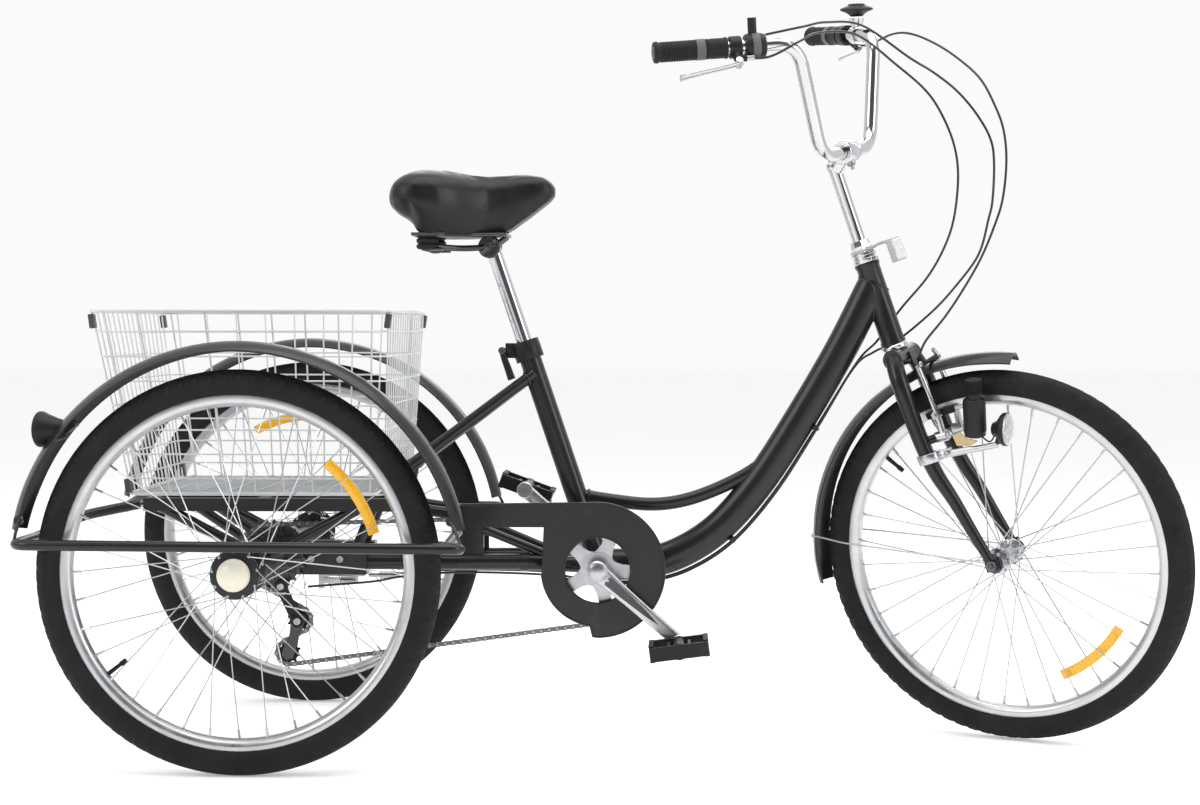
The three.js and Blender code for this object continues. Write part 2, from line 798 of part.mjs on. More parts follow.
const postTop = 800;
add("seatpost", rod(seatLine(460), seatLine(postTop), seatpostRadius), chrome);

// Pan, rails, clamp and the two rear springs, as one welded and riveted assembly.
function saddleBase() {
  const clampMiddle = seatLine(790);
  const panHigh = saddleHeight - gap;
  const pieces = [
    block(point(150, 96, 6), point(300, 0, panHigh - 3)),
    block(point(52, 150, 6), point(252, 0, panHigh - 3)),
    crossBar(point(clampMiddle.x - 4, 0, clampMiddle.z), 18, 22),
  ];
  for (const { sign } of sides) {
    pieces.push(
      rod(point(250, sign * 56, 785), point(250, sign * 56, panHigh - 1), 17, { sides: 10 }),
      pipe(
        [
          point(372, sign * 12, 806),
          point(350, sign * 20, 790),
          point(300, sign * 26, 788),
          point(262, sign * 48, 790),
        ],
        4,
        { sides: 6, steps: 6 },
      ),
    );
  }
  return cut(join(...pieces), hole(seatLine(700), seatLine(postTop), seatpostRadius));
}
add("saddle_base", saddleBase(), blackPlastic);

// The pad is where the outline from the side and the outline from above agree.
function saddlePad() {
  const side = new THREE.Shape();
  side.moveTo(232, saddleHeight);
  side.lineTo(216, 837);
  side.lineTo(188, 857);
  side.bezierCurveTo(186, 895, 205, 914, 240, 914);
  side.bezierCurveTo(280, 914, 300, 901, 340, 901);
  side.bezierCurveTo(370, 901, 390, 909, 420, 908);
  side.bezierCurveTo(445, 906, 452, 890, 454, 871);
  side.bezierCurveTo(430, 852, 400, 850, 378, saddleHeight);
  const above = new THREE.Shape();
  above.moveTo(186, -60);
  above.bezierCurveTo(190, -125, 260, -122, 300, -84);
  above.bezierCurveTo(350, -42, 380, -42, 430, -36);
  above.bezierCurveTo(460, -26, 460, 26, 430, 36);
  above.bezierCurveTo(380, 42, 350, 42, 300, 84);
  above.bezierCurveTo(260, 122, 190, 125, 186, 60);
  const prism = new THREE.ExtrudeGeometry(above, { depth: 200, bevelEnabled: false, curveSegments: 5 });
  return common(plate(side, -140, 140, 5), prism.translate(0, 0, 760));
}
add("saddle_pad", saddlePad(), blackVinyl);

// ---- Steering ----

// Everything here is laid out with the wheel straight ahead and turned as one group.
const steering = new THREE.Group();
const steeringParts = new THREE.Group();
steering.position.copy(steeringPoint);
steering.quaternion.setFromAxisAngle(steeringAxis, steeringTurn);
steeringParts.position.copy(steeringPoint).negate();
steering.add(steeringParts);
machine.add(steering);
const addSteered = (name, geometry, material) => addTo(steeringParts, name, geometry, material);

const frontAxle = onSteering(0, forkRake, -forkDrop);
const forkLegY = 55;

function fork() {
  const acrossBar = (centre, radius, half, count) => crossBar(centre, radius, half, { sides: count });
  const pieces = [
    rod(onSteering(0, 0, -310), onSteering(0, 0, -120), steererRadius),
    acrossBar(onSteering(0, 7, -303), 15, 42, 8),
    acrossBar(frontAxle, 4.8, 70, 8),
  ];
  for (const { sign } of sides) {
    const leg = [
      [36, 7, -300, 14],
      [52, 11, -345, 14],
      [forkLegY, 15, -435, 13],
      [forkLegY + 1, 36, -540, 10.5],
      [forkLegY + 1, 62, -648, 8],
    ];
    for (let i = 0; i < leg.length - 1; i++) {
      const [y, s, h, radius] = leg[i];
      const [nextY, nextS, nextH, endRadius] = leg[i + 1];
      const from = onSteering(sign * y, s, h);
      const to = onSteering(sign * nextY, nextS, nextH);
      to.addScaledVector(to.clone().sub(from).normalize(), 3);
      pieces.push(rod(from, to, radius, { endRadius, sides: 8 }));
    }
    const nutFace = forkLegY + 9;
    pieces.push(
      acrossBar(frontAxle.clone().add(point(0, sign * (nutFace + 3), 0)), 11, 4, 6),
      acrossBar(frontAxle.clone().add(point(0, sign * forkLegY, 0)), 15, 3, 8),
      rod(onSteering(sign * forkLegY, 15, -440), onSteering(sign * 40, 34, -440), 7, { sides: 6 }),
    );
  }
  return join(...pieces);
}
addSteered("fork", fork(), blackPaint);

addSteered(
  "headset_nut",
  cut(
    rod(onSteering(0, 0, headTube.high + gap), onSteering(0, 0, -106), 18, { endRadius: 15, sides: 12 }),
    hole(onSteering(0, 0, -160), onSteering(0, 0, -90), steererRadius),
  ),
  chrome,
);

// Handlebar: the same bends on both sides, from the clamp out, up, and back to the grips.
const barClamp = [0, 28, 34];
const barCorners = [
  [98, 28, 34],
  [152, 75, 206],
];
const barEnd = [290, -87, 257];
const barPoint = (sign, [across, forward, high]) => onSteering(sign * across, forward, high);
const barBend = 32;
const barLine = bentLine(
  [
    barPoint(-1, barEnd),
    barPoint(-1, barCorners[1]),
    barPoint(-1, barCorners[0]),
    barPoint(1, barCorners[0]),
    barPoint(1, barCorners[1]),
    barPoint(1, barEnd),
  ],
  barBend,
);
addSteered("handlebar", swept(roundSection(barRadius, 8), barLine, 44), chrome);

function stem() {
  const clamp = onSteering(...barClamp);
  const body = join(
    rod(onSteering(0, 0, -98), onSteering(0, 0, 22), barRadius, { sides: 10 }),
    rod(onSteering(0, 0, 10), clamp, 12, { endRadius: 14, sides: 10 }),
    crossBar(clamp, 18, 21),
    rod(onSteering(0, 30, 12), onSteering(0, 30, 24), 7, { sides: 6 }),
  );
  const barHole = hole(clamp.clone().setY(-60), clamp.clone().setY(60), barRadius);
  return cut(body, barHole);
}
addSteered("stem", stem(), chrome);

// A point on the straight end of the bar, measured in from its tip.
function alongBar(sign, fromTip) {
  const tip = barPoint(sign, barEnd);
  const inward = barPoint(sign, barCorners[1]).sub(tip).normalize();
  return tip.addScaledVector(inward, fromTip);
}

const sleeve = (sign, fromTip, toTip, radius, sides = 12) =>
  cut(
    rod(alongBar(sign, fromTip), alongBar(sign, toTip), radius, { sides }),
    hole(alongBar(sign, fromTip - 5), alongBar(sign, toTip + 5), barRadius),
  );

const gripLength = 108;
const bracketAt = { from: 112, to: 130 };
const outAlong = (sign) => alongBar(sign, 0).sub(alongBar(sign, 100)).normalize();

// A point near a brake lever's bracket: out along the bar, and away from it, forward and down.
function leverAt(sign, out, away) {
  const along = outAlong(sign);
  const square = (direction) => direction.addScaledVector(along, -direction.dot(along)).normalize();
  const ahead = square(steeringForward.clone());
  const down = square(point(0, 0, -1));
  const spread = ahead.multiplyScalar(0.6).addScaledVector(down, 0.8).normalize();
  const middle = alongBar(sign, (bracketAt.from + bracketAt.to) / 2);
  return middle.addScaledVector(spread, away).addScaledVector(along, out);
}

for (const { name, sign } of sides) {
  const cap = rod(alongBar(sign, -5), alongBar(sign, -0.6), 15.5, { sides: 12 });
  addSteered(`grip_${name}`, join(cap, sleeve(sign, -1, gripLength, 15.5)), rubber);
  const bracket = join(
    sleeve(sign, bracketAt.from, bracketAt.to, 17),
    rod(leverAt(sign, 0, 14.5), leverAt(sign, 0, 25), 7, { sides: 8 }),
  );
  addSteered(`lever_bracket_${name}`, bracket, blackPlastic);

  // The blade reaches back along the grip and opens away from it.
  const bladeLine = [[-4, 32], [34, 40], [92, 54]].map(([out, away]) => leverAt(sign, out, away));
  const blade = pipe(bladeLine, 5, { sides: 8, steps: 6, squeeze: 0.7 });
  addSteered(`brake_lever_${name}`, blade, chrome);
}

// Shifter on the right and bell on the left.
const shifterAt = { from: 136, to: 168 };
addSteered("shifter_pod", sleeve(-1, shifterAt.from, shifterAt.to, 19, 14), blackPlastic);
const shiftPivot = alongBar(-1, (shifterAt.from + shifterAt.to) / 2);
addSteered(
  "shift_lever",
  rod(
    shiftPivot.clone().add(point(4, 0, 25)),
    shiftPivot.clone().add(point(-10, -6, 38)),
    6,
    { endRadius: 4, sides: 8 },
  ),
  blackPlastic,
);

const bellAt = { from: 152, to: 168 };
const bellFoot = alongBar(1, (bellAt.from + bellAt.to) / 2);
addSteered(
  "bell_base",
  join(
    sleeve(1, bellAt.from, bellAt.to, 15),
    rod(bellFoot.clone().add(point(0, 0, 13)), bellFoot.clone().add(point(0, 0, 30)), 9, { endRadius: 14 }),
  ),
  blackPlastic,
);
const bellDome = [[0, 0], [10, 0], [27, 9], [27, 14], [14, 19], [0, 22]];
addSteered(
  "bell_dome",
  turned(bellDome, point(0, 0, 0), 16)
    .rotateX(Math.PI / 2)
    .translate(bellFoot.x, bellFoot.y, bellFoot.z + 30.6),
  blackPlastic,
);

// Front reflector on a bracket that is held by the headset nut.
addSteered(
  "front_reflector",
  cut(
    join(
      rod(onSteering(0, 0, -125), onSteering(0, 0, -121), 20, { sides: 12 }),
      rod(onSteering(0, 17, -123), onSteering(0, 54, -124), 3, { sides: 6 }),
      steeredBlock(point(14, 42, 38), onSteering(0, 58, -138)),
    ),
    hole(onSteering(0, 0, -146), onSteering(0, 0, -100), 17),
  ),
  clearPlastic,
);

// ---- Front wheel, fender, brake and lamp ----

addSteered("spoked_wheel_front", spokedWheel(frontAxle, frontHub), alloy);
addSteered("tyre_front", tyre(frontAxle), rubber);

const headLean = THREE.MathUtils.radToDeg(Math.PI / 2 - headAngle);
const frontFender = fender(frontAxle, 329, 28, 68 + headLean, 174 + headLean);
addSteered("fender_front", frontFender, blackPaint);

// Linear-pull brake: two arms on studs in front of the legs, with a pad each side of the rim.
const rimBrakePivot = { across: 38, forward: 46, high: -440 };
for (const { name, sign } of sides) {
  const { across, forward, high } = rimBrakePivot;
  const foot = onSteering(sign * across, forward + 0.5, high);
  const head = onSteering(sign * 39.5, forward - 2, -322);
  const padMiddle = onSteering(sign * 22, forward + 2, -405);
  const along = (distance) => foot.clone().addScaledVector(steeringForward, distance);
  const arm = join(
    rod(along(-4), along(8), 9, { sides: 10 }),
    rod(foot, head, 7, { endRadius: 5.5, sides: 8 }),
    rod(onSteering(sign * 36, forward + 2, -405), padMiddle, 5, { sides: 8 }),
    steeredBlock(point(46, 13, 9), padMiddle),
  );
  addSteered(`rim_brake_arm_${name}`, arm, alloy);
}

// Bottle dynamo on a clamp round the right leg, and the head lamp beyond it.
const lampClampHeight = -466;
const lampArmEnd = onSteering(-44, 131, -476);
addSteered(
  "lamp_bracket",
  cut(
    join(
      rod(onSteering(-56, 21, lampClampHeight - 8), onSteering(-56, 21, lampClampHeight + 8), 19),
      rod(onSteering(-56, 30, lampClampHeight), lampArmEnd, 6, { endRadius: 5, sides: 8 }),
    ),
    rod(onSteering(-55.2, 14, lampClampHeight + 30), onSteering(-56, 28, lampClampHeight - 40), 14.4),
  ),
  alloy,
);
addSteered(
  "dynamo",
  join(
    rod(onSteering(-44, 100, -454), onSteering(-48.4, 119, -398), 18),
    rod(onSteering(-48.3, 118.6, -399), onSteering(-50, 129, -368), 13),
  ),
  blackPlastic,
);
const lampMiddle = onSteering(-44, 146, -455);
addSteered(
  "head_lamp",
  turned([[0, -16], [10, -16], [15, -6], [26, 3], [26, 9], [0, 13]], point(0, 0, 0), 14)
    .rotateZ(-Math.PI / 2)
    .translate(lampMiddle.x, lampMiddle.y, lampMiddle.z),
  blackPlastic,
);

// ---- Cables ----

const cableRadius = 2.5;
const steeredRoute = (rows) => rows.map(([y, s, h]) => onSteering(y, s, h));
const cable = (route, steps) => pipe(route, cableRadius, { sides: 6, steps });

// Front brake: from the left lever, in a wide loop ahead of the bars, to the top of the right brake arm.
const frontBrakeRoute = steeredRoute([
  [222, 13, 208],
  [195, 44, 198],
  [165, 100, 197],
  [139, 140, 184],
  [128, 176, 156],
  [116, 209, 120],
  [103, 239, 75],
  [89, 253, 27],
  [77, 258, -16],
  [63, 251, -64],
  [47, 232, -117],
  [34, 209, -154],
  [18, 176, -196],
  [1, 136, -235],
  [-12, 101, -264],
  [-25, 65, -289],
  [-30, 48, -308],
]);
addSteered("front_brake_cable", cable(frontBrakeRoute, 40), blackPlastic);

// The two cables of the rear leave the steering beside the head tube and follow the underside of the tubes.
const turnedPoint = ([y, s, h]) =>
  onSteering(y, s, h)
    .sub(steeringPoint)
    .applyAxisAngle(steeringAxis, steeringTurn)
    .add(steeringPoint);

const rearBrakeRoute = [
  ...[
    [-222, 13, 208],
    [-195, 44, 198],
    [-172, 88, 205],
    [-100, 92, 214],
    [0, 108, 200],
    [50, 135, 138],
    [54, 166, 84],
    [51, 180, 38],
    [48, 184, -13],
    [45, 175, -61],
    [41, 149, -119],
    [38, 119, -159],
    [36, 76, -196],
  ].map(turnedPoint),
  point(1004, 26, 690),
  point(968, 30, 640),
  point(934, 16, 605),
  point(867, 10, 498),
  point(802, 10, 397),
  point(734, 10, 318),
  point(663, 10, 272),
  point(595, 10, 253),
  point(522, 10, 251),
  point(470, 12, 258),
  point(430, 14, 266),
  point(300, 0, 270),
  point(215, -12, 266),
  point(152, -12, 262),
];
add("rear_brake_cable", cable(rearBrakeRoute, 60), blackPlastic);

const shiftRoute = [
  ...[
    [-181, 42, 233],
    [-150, 92, 226],
    [-90, 104, 226],
    [0, 122, 210],
    [38, 164, 140],
    [37, 194, 105],
    [36, 221, 65],
    [34, 240, 21],
    [33, 249, -23],
    [31, 243, -60],
    [36, 220, -113],
    [40, 202, -140],
    [44, 166, -188],
    [42, 112, -225],
    [36, 62, -252],
  ].map(turnedPoint),
  point(1000, 34, 640),
  point(962, 20, 622),
  point(927, -4, 596),
  point(868, -8, 498),
  point(803, -8, 396),
  point(735, -8, 317),
  point(664, -8, 271),
  point(595, -8, 252),
  point(522, -12, 250),
  point(470, -14, 257),
  point(430, -22, 265),
  point(300, -30, 269),
  point(210, -46, 264),
  point(160, -62, 257),
  point(60, -74, 250),
];
add("shift_cable", cable(shiftRoute, 62), blackPlastic);

// ---- Origin: over the middle of the box, on the ground ----

machine.updateMatrixWorld(true);
const size = new THREE.Box3().setFromObject(machine, true);
machine.position.x = -(size.min.x + size.max.x) / 2;

export default machine;
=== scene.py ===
import json
import math

import bmesh
import bpy
from mathutils import Matrix, Vector


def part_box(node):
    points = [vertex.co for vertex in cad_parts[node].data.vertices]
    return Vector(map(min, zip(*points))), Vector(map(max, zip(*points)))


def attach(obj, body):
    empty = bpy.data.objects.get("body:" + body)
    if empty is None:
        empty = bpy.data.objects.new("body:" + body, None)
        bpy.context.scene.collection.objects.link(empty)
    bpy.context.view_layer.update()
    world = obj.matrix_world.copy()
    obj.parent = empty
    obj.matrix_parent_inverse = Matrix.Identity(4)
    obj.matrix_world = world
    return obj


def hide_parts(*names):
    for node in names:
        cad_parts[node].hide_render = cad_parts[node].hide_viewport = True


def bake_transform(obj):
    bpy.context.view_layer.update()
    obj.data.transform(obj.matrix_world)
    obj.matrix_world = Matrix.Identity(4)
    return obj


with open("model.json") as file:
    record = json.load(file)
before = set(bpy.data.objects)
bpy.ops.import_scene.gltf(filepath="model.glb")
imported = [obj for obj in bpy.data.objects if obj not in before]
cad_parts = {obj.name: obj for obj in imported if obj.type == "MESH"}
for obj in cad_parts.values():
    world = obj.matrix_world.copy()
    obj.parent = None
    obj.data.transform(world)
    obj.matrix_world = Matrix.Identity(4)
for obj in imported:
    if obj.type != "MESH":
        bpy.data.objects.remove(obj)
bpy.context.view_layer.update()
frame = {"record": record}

MM = 0.001
TAU = 2 * math.pi
joints = {joint["name"]: joint for joint in frame["record"]["behaviour"]["joints"]}


def joint_place(name):
    return Vector(joints[name]["pos_m"])


def joint_axis(name):
    return Vector(joints[name]["axis"]).normalized()


# ---- Two frames of reference ----

X, Y, Z = Vector((1, 0, 0)), Vector((0, 1, 0)), Vector((0, 0, 1))
SIDES = (("right", -1), ("left", 1))
axle = joint_place("drive_axle_spin")
crank_centre = joint_place("crank_spin")
head = joint_place("steering_turn")
head_up = joint_axis("steering_turn")
wheel_across = joint_axis("front_wheel_spin")
head_ahead = wheel_across.cross(head_up)
head_lean = math.asin(head_ahead.z)


def at(x, y, z):
    """A point of the rear part: x forward of the rear axle, y to the left, z above the ground."""
    return Vector((axle.x + x * MM, y * MM, z * MM))


def on(across, ahead, high):
    """A point of the steering: across, ahead of the steering axis, and up along it."""
    return head + (wheel_across * across + head_ahead * ahead + head_up * high) * MM


def seat_line(z, y=0.0):
    """A point of the seat tube's centre line at a height."""
    lean = joint_axis("seat_height")
    start = crank_centre
    return Vector((start.x + (z * MM - start.z) * lean.x / lean.z, y * MM, z * MM))


# ---- Lines ----


def smooth(points, count):
    """A smooth line through the points, cut into equal shares of each stretch."""
    ends = [2 * points[0] - points[1], *points, 2 * points[-1] - points[-2]]
    line = []
    for i in range(1, len(ends) - 2):
        a, b, c, d = ends[i - 1 : i + 3]
        for k in range(count):
            t = k / count
            line.append(
                0.5 * (2 * b + (c - a) * t + (2 * a - 5 * b + 4 * c - d) * t**2
                       + (3 * b - a - 3 * c + d) * t**3)
            )
    return line + [points[-1]]


def bent(points, bend, steps=8):
    """Straight runs joined by rounded corners, as a bent tube has."""
    line = [points[0]]
    for before, corner, after in zip(points, points[1:], points[2:]):
        start = corner + (before - corner).normalized() * bend * MM
        end = corner + (after - corner).normalized() * bend * MM
        for k in range(steps + 1):
            t = k / steps
            line.append(start * (1 - t) ** 2 + corner * 2 * t * (1 - t) + end * t**2)
    return line + [points[-1]]


def arc(centre, radius, start, end, count, u=X, v=Z):
    """Points round a centre from one angle to another, in degrees."""
    angles = [math.radians(start + (end - start) * k / count) for k in range(count + 1)]
    return [centre + (u * math.cos(t) + v * math.sin(t)) * radius * MM for t in angles]


def steps_between(a, b, count):
    return [a.lerp(b, k / count) for k in range(count + 1)]


# ---- Shapes ----


class Shape:
    """Vertices and faces, collected solid by solid."""

    def __init__(self):
        self.verts = []
        self.faces = []

    def skin(self, rings, loop=False):
        """A closed solid through rings of points. A loop's last ring meets its first."""
        first = len(self.verts)
        size = len(rings[0])
        count = len(rings)
        for ring in rings:
            self.verts.extend(ring)
        for i in range(count if loop else count - 1):
            a = first + i * size
            b = first + (i + 1) % count * size
            for k in range(size):
                n = (k + 1) % size
                self.faces.append((a + k, a + n, b + n, b + k))
        if not loop:
            self.faces.append(tuple(first + k for k in reversed(range(size))))
            self.faces.append(tuple(first + (count - 1) * size + k for k in range(size)))
        return self

    def sweep(self, points, section, side=None, loop=False):
        """A section of (side, outward) pairs in millimetres, carried along a line."""
        rings = []
        count = len(points)
        for i, place in enumerate(points):
            before = points[i - 1] if i or loop else place
            after = points[(i + 1) % count] if i < count - 1 or loop else place
            tangent = (after - before).normalized()
            if side is None:
                side = tangent.orthogonal()
            side = (side - tangent * side.dot(tangent)).normalized()
            other = tangent.cross(side)
            here = section(i) if callable(section) else section
            rings.append([place + (side * a + other * b) * MM for a, b in here])
        return self.skin(rings, loop)

    def tube(self, points, radius, sides=16, loop=False, side=None, squash=1.0):
        """A round tube. The radius may be one number or one for each point."""
        turn = [(math.cos(TAU * k / sides), math.sin(TAU * k / sides)) for k in range(sides)]
        radii = [radius] * len(points) if isinstance(radius, (int, float)) else radius

        def section(i):
            return [(radii[i] * a * squash, radii[i] * b) for a, b in turn]

        return self.sweep(points, section, side, loop)

    def rod(self, a, b, radius, end_radius=None, sides=20, flare=0.0):
        """A straight bar. A flare widens its two ends, as a weld's bead does."""
        last = radius if end_radius is None else end_radius
        length = (b - a).length
        edge = min(3 * MM / length, 0.2)
        stops = [0, edge, 3 * edge, 1 - 3 * edge, 1 - edge, 1] if flare else [0, 1]
        extra = [flare, flare * 0.7, 0, 0, flare * 0.7, flare] if flare else [0, 0]
        radii = [radius + (last - radius) * t + more for t, more in zip(stops, extra)]
        return self.tube([a.lerp(b, t) for t in stops], radii, sides)

    def lathe(self, profile, centre, axis=Y, sides=48):
        """A solid turned about an axis from (radius, along) pairs. The profile may close on itself."""
        axis = axis.normalized()
        side = X if abs(axis.dot(X)) < 0.5 else axis.orthogonal().normalized()
        side = (side - axis * side.dot(axis)).normalized()
        other = axis.cross(side)
        around = [side * math.cos(TAU * k / sides) + other * math.sin(TAU * k / sides) for k in range(sides)]
        rings = [[centre + (axis * t + way * max(r, 0.01)) * MM for way in around] for r, t in profile]
        closed = profile[0] == profile[-1]
        return self.skin(rings[:-1] if closed else rings, closed)

    def box(self, size, centre, turn=None):
        """A block with its size along the axes of a rotation matrix."""
        turn = turn or Matrix.Identity(3)
        corners = []
        for z in (-0.5, 0.5):
            ring = [(-0.5, -0.5), (0.5, -0.5), (0.5, 0.5), (-0.5, 0.5)]
            corners.append([centre + turn @ Vector((a * size[0], b * size[1], z * size[2])) * MM for a,
                            b in ring])
        return self.skin(corners)

    def slab(self, outline, depth, centre, u, v):
        """A flat plate: an outline of (u, v) pairs, given depth along u x v."""
        out = u.cross(v).normalized() * MM
        rings = [[centre + (u * a + v * b) * MM + out * d for a, b in outline] for d in depth]
        return self.skin(rings)

    def gear(self, centre, axis, teeth, root, tip, bore, low, high, u=X):
        """A toothed ring with a round hole."""
        other = axis.cross(u)
        share = (0.0, 0.22, 0.4, 0.6, 0.78)
        reach = (root, root, tip, tip, root)
        outer, inner = [], []
        for i in range(teeth):
            for t, radius in zip(share, reach):
                angle = TAU * (i + t) / teeth
                way = u * math.cos(angle) + other * math.sin(angle)
                outer.append(way * radius * MM)
                inner.append(way * bore * MM)
        rings = [[centre + axis * y * MM + p for p in ring] for ring, y in
                 ((outer, low), (outer, high), (inner, high), (inner, low))]
        return self.skin(rings, loop=True)


def bolt(shape, centre, axis, radius=4.5, height=4.0):
    """A domed bolt head with a hexagon socket."""
    hexagon = radius * 0.5
    profile = [(radius, 0), (radius, height * 0.5), (radius * 0.8, height), (hexagon, height),
               (hexagon, height * 0.4), (0, height * 0.4)]
    return shape.lathe([(0, 0), *profile], centre, axis, 24)


def nut(shape, centre, axis, across_flats=15.0, height=8.0):
    """A hexagon nut with a dome of thread through it."""
    radius = across_flats / math.sqrt(3)
    shape.lathe([(0, 0), (radius, 0), (radius, height), (0, height)], centre, axis, 6)
    thread = across_flats * 0.3
    return shape.lathe([(0, height), (thread, height), (thread, height + 5), (thread - 1, height + 6),
                        (0, height + 6)], centre, axis, 20)


# ---- Materials ----


class Nodes:
    """Short calls for building one material's node tree."""

    def __init__(self, name):
        self.material = bpy.data.materials.new(name)
        self.material.use_nodes = True
        self.tree = self.material.node_tree
        self.shader = self.tree.nodes["Principled BSDF"]
        self.place = self.tree.nodes.new("ShaderNodeTexCoord").outputs["Object"]

    def add(self, kind, inputs=None, **settings):
        node = self.tree.nodes.new(kind)
        for key, value in settings.items():
            setattr(node, key, value)
        for key, value in (inputs or {}).items():
            if isinstance(value, bpy.types.NodeSocket):
                self.tree.links.new(value, node.inputs[key])
            else:
                node.inputs[key].default_value = value
        return node

    def noise(self, scale, detail=3.0, stretch=None):
        source = self.place
        if stretch:
            source = self.add("ShaderNodeMapping", {"Vector": source, "Scale": stretch}).outputs[0]
        return self.add("ShaderNodeTexNoise", {"Vector": source, "Scale": scale, "Detail": detail}).outputs[0]

    def ramp(self, value, low, high, start, end):
        inputs = {"Value": value, "From Min": low, "From Max": high, "To Min": start, "To Max": end}
        return self.add("ShaderNodeMapRange", inputs).outputs[0]

    def mix(self, factor, a, b):
        node = self.add("ShaderNodeMix", data_type="RGBA")
        for socket, value in ((node.inputs[0], factor), (node.inputs[6], a), (node.inputs[7], b)):
            if isinstance(value, bpy.types.NodeSocket):
                self.tree.links.new(value, socket)
            else:
                socket.default_value = value
        return node.outputs[2]

    def bump(self, height, strength, distance):
        return self.add("ShaderNodeBump",
                        {"Height": height, "Strength": strength, "Distance": distance}).outputs[0]

    def plug(self, **inputs):
        for key, value in inputs.items():
            socket = self.shader.inputs[key.replace("_", " ")]
            if isinstance(value, bpy.types.NodeSocket):
                self.tree.links.new(value, socket)
            else:
                socket.default_value = value
        return self


def shade(color, factor):
    return tuple(min(1.0, c * factor) for c in color) + (1.0,)


def surface(name, color, roughness, metallic=0.0, variation=0.12, patch=14.0, grain=900.0, bump=0.08,
            depth=0.0004, spread=0.08, wear=0.0, worn=(0.5, 0.5, 0.5), stretch=None, **sockets):
    """A material with a slow drift of colour and gloss, a fine grain and, where asked, rubbed edges."""
    nodes = Nodes(name)
    drift = nodes.noise(patch, 4.0)
    tint = nodes.mix(nodes.ramp(drift, 0.3, 0.7, 0, 1), shade(color, 1 - variation),
                     shade(color, 1 + variation))
    fine = nodes.noise(grain, 4.0, stretch)
    if wear:
        edge = nodes.add("ShaderNodeNewGeometry").outputs["Pointiness"]
        rubbed = nodes.ramp(edge, 0.53, 0.62, 0, wear)
        patchy = nodes.add("ShaderNodeMath", {0: rubbed, 1: nodes.ramp(fine, 0.35, 0.6, 0, 1)},
                           operation="MULTIPLY").outputs[0]
        tint = nodes.mix(patchy, tint, shade(worn, 1))
    gloss = nodes.ramp(nodes.noise(patch * 3, 5.0), 0.3, 0.7, max(0.02, roughness - spread),
                       roughness + spread)
    nodes.plug(Base_Color=tint, Roughness=gloss, Metallic=metallic, Normal=nodes.bump(fine, bump, depth))
    return nodes.plug(**sockets).material


black = (0.012, 0.012, 0.013)
paint = surface("enamel_black", black, 0.3, patch=9.0, grain=260.0, bump=0.05, spread=0.05, wear=0.2,
                worn=(0.06, 0.06, 0.06), Specular_IOR_Level=0.3, Coat_Weight=0.2, Coat_Roughness=0.12)
chrome = surface("chrome", (0.55, 0.56, 0.57), 0.07, 1.0, variation=0.03, grain=1400.0, bump=0.02,
                 spread=0.03)
alloy = surface("alloy_satin", (0.50, 0.51, 0.53), 0.30, 1.0, variation=0.05, grain=1200.0, bump=0.06)
brushed = surface("alloy_brushed", (0.54, 0.55, 0.56), 0.34, 1.0, variation=0.04, grain=500.0, bump=0.03,
                  stretch=(1.0, 9.0, 1.0))
steel = surface("steel_zinc", (0.42, 0.42, 0.43), 0.34, 1.0, variation=0.12, grain=800.0, bump=0.12, wear=0.3,
                worn=(0.75, 0.75, 0.76))
dark_steel = surface("steel_dark", (0.07, 0.07, 0.075), 0.38, 0.9, grain=800.0, bump=0.12, wear=0.5,
                     worn=(0.5, 0.5, 0.5))
spoke_steel = surface("spoke_stainless", (0.40, 0.41, 0.42), 0.25, 1.0, variation=0.04, bump=0.02)
tyre_rubber = surface("tyre_rubber", (0.012, 0.012, 0.013), 0.72, variation=0.25, grain=1500.0, bump=0.35,
                      wear=0.4, worn=(0.045, 0.045, 0.047), Specular_IOR_Level=0.2)
grip_rubber = surface("grip_rubber", (0.014, 0.014, 0.015), 0.62, variation=0.2, grain=1800.0, bump=0.3,
                      Specular_IOR_Level=0.25)
grip_grey = surface("grip_grey", (0.10, 0.10, 0.105), 0.6, variation=0.15, grain=1800.0, bump=0.25)
plastic = surface("plastic_black", (0.013, 0.013, 0.014), 0.42, variation=0.18, grain=1600.0, bump=0.22,
                  wear=0.2, worn=(0.05, 0.05, 0.05), Specular_IOR_Level=0.25)
vinyl = surface("saddle_vinyl", (0.010, 0.010, 0.011), 0.38, variation=0.15, grain=620.0, bump=0.28,
                depth=0.0005, Specular_IOR_Level=0.3)
coated = surface("wire_white", (0.60, 0.61, 0.62), 0.34, variation=0.04, grain=700.0, bump=0.06,
                 Coat_Weight=0.2)
mesh_grey = surface("wire_grey", (0.40, 0.41, 0.42), 0.42, variation=0.12, grain=700.0, bump=0.1)
clip_grey = surface("clip_grey", (0.05, 0.053, 0.058), 0.45, variation=0.25, grain=900.0, bump=0.2)
cream = surface("cap_cream", (0.80, 0.77, 0.63), 0.30, variation=0.04, grain=900.0, bump=0.04,
                Coat_Weight=0.3)
housing = surface("cable_housing", (0.014, 0.014, 0.015), 0.33, variation=0.1, grain=1500.0, bump=0.08)
tan_zinc = surface("bracket_tan", (0.44, 0.33, 0.18), 0.36, 0.8, variation=0.15, grain=800.0, bump=0.15)


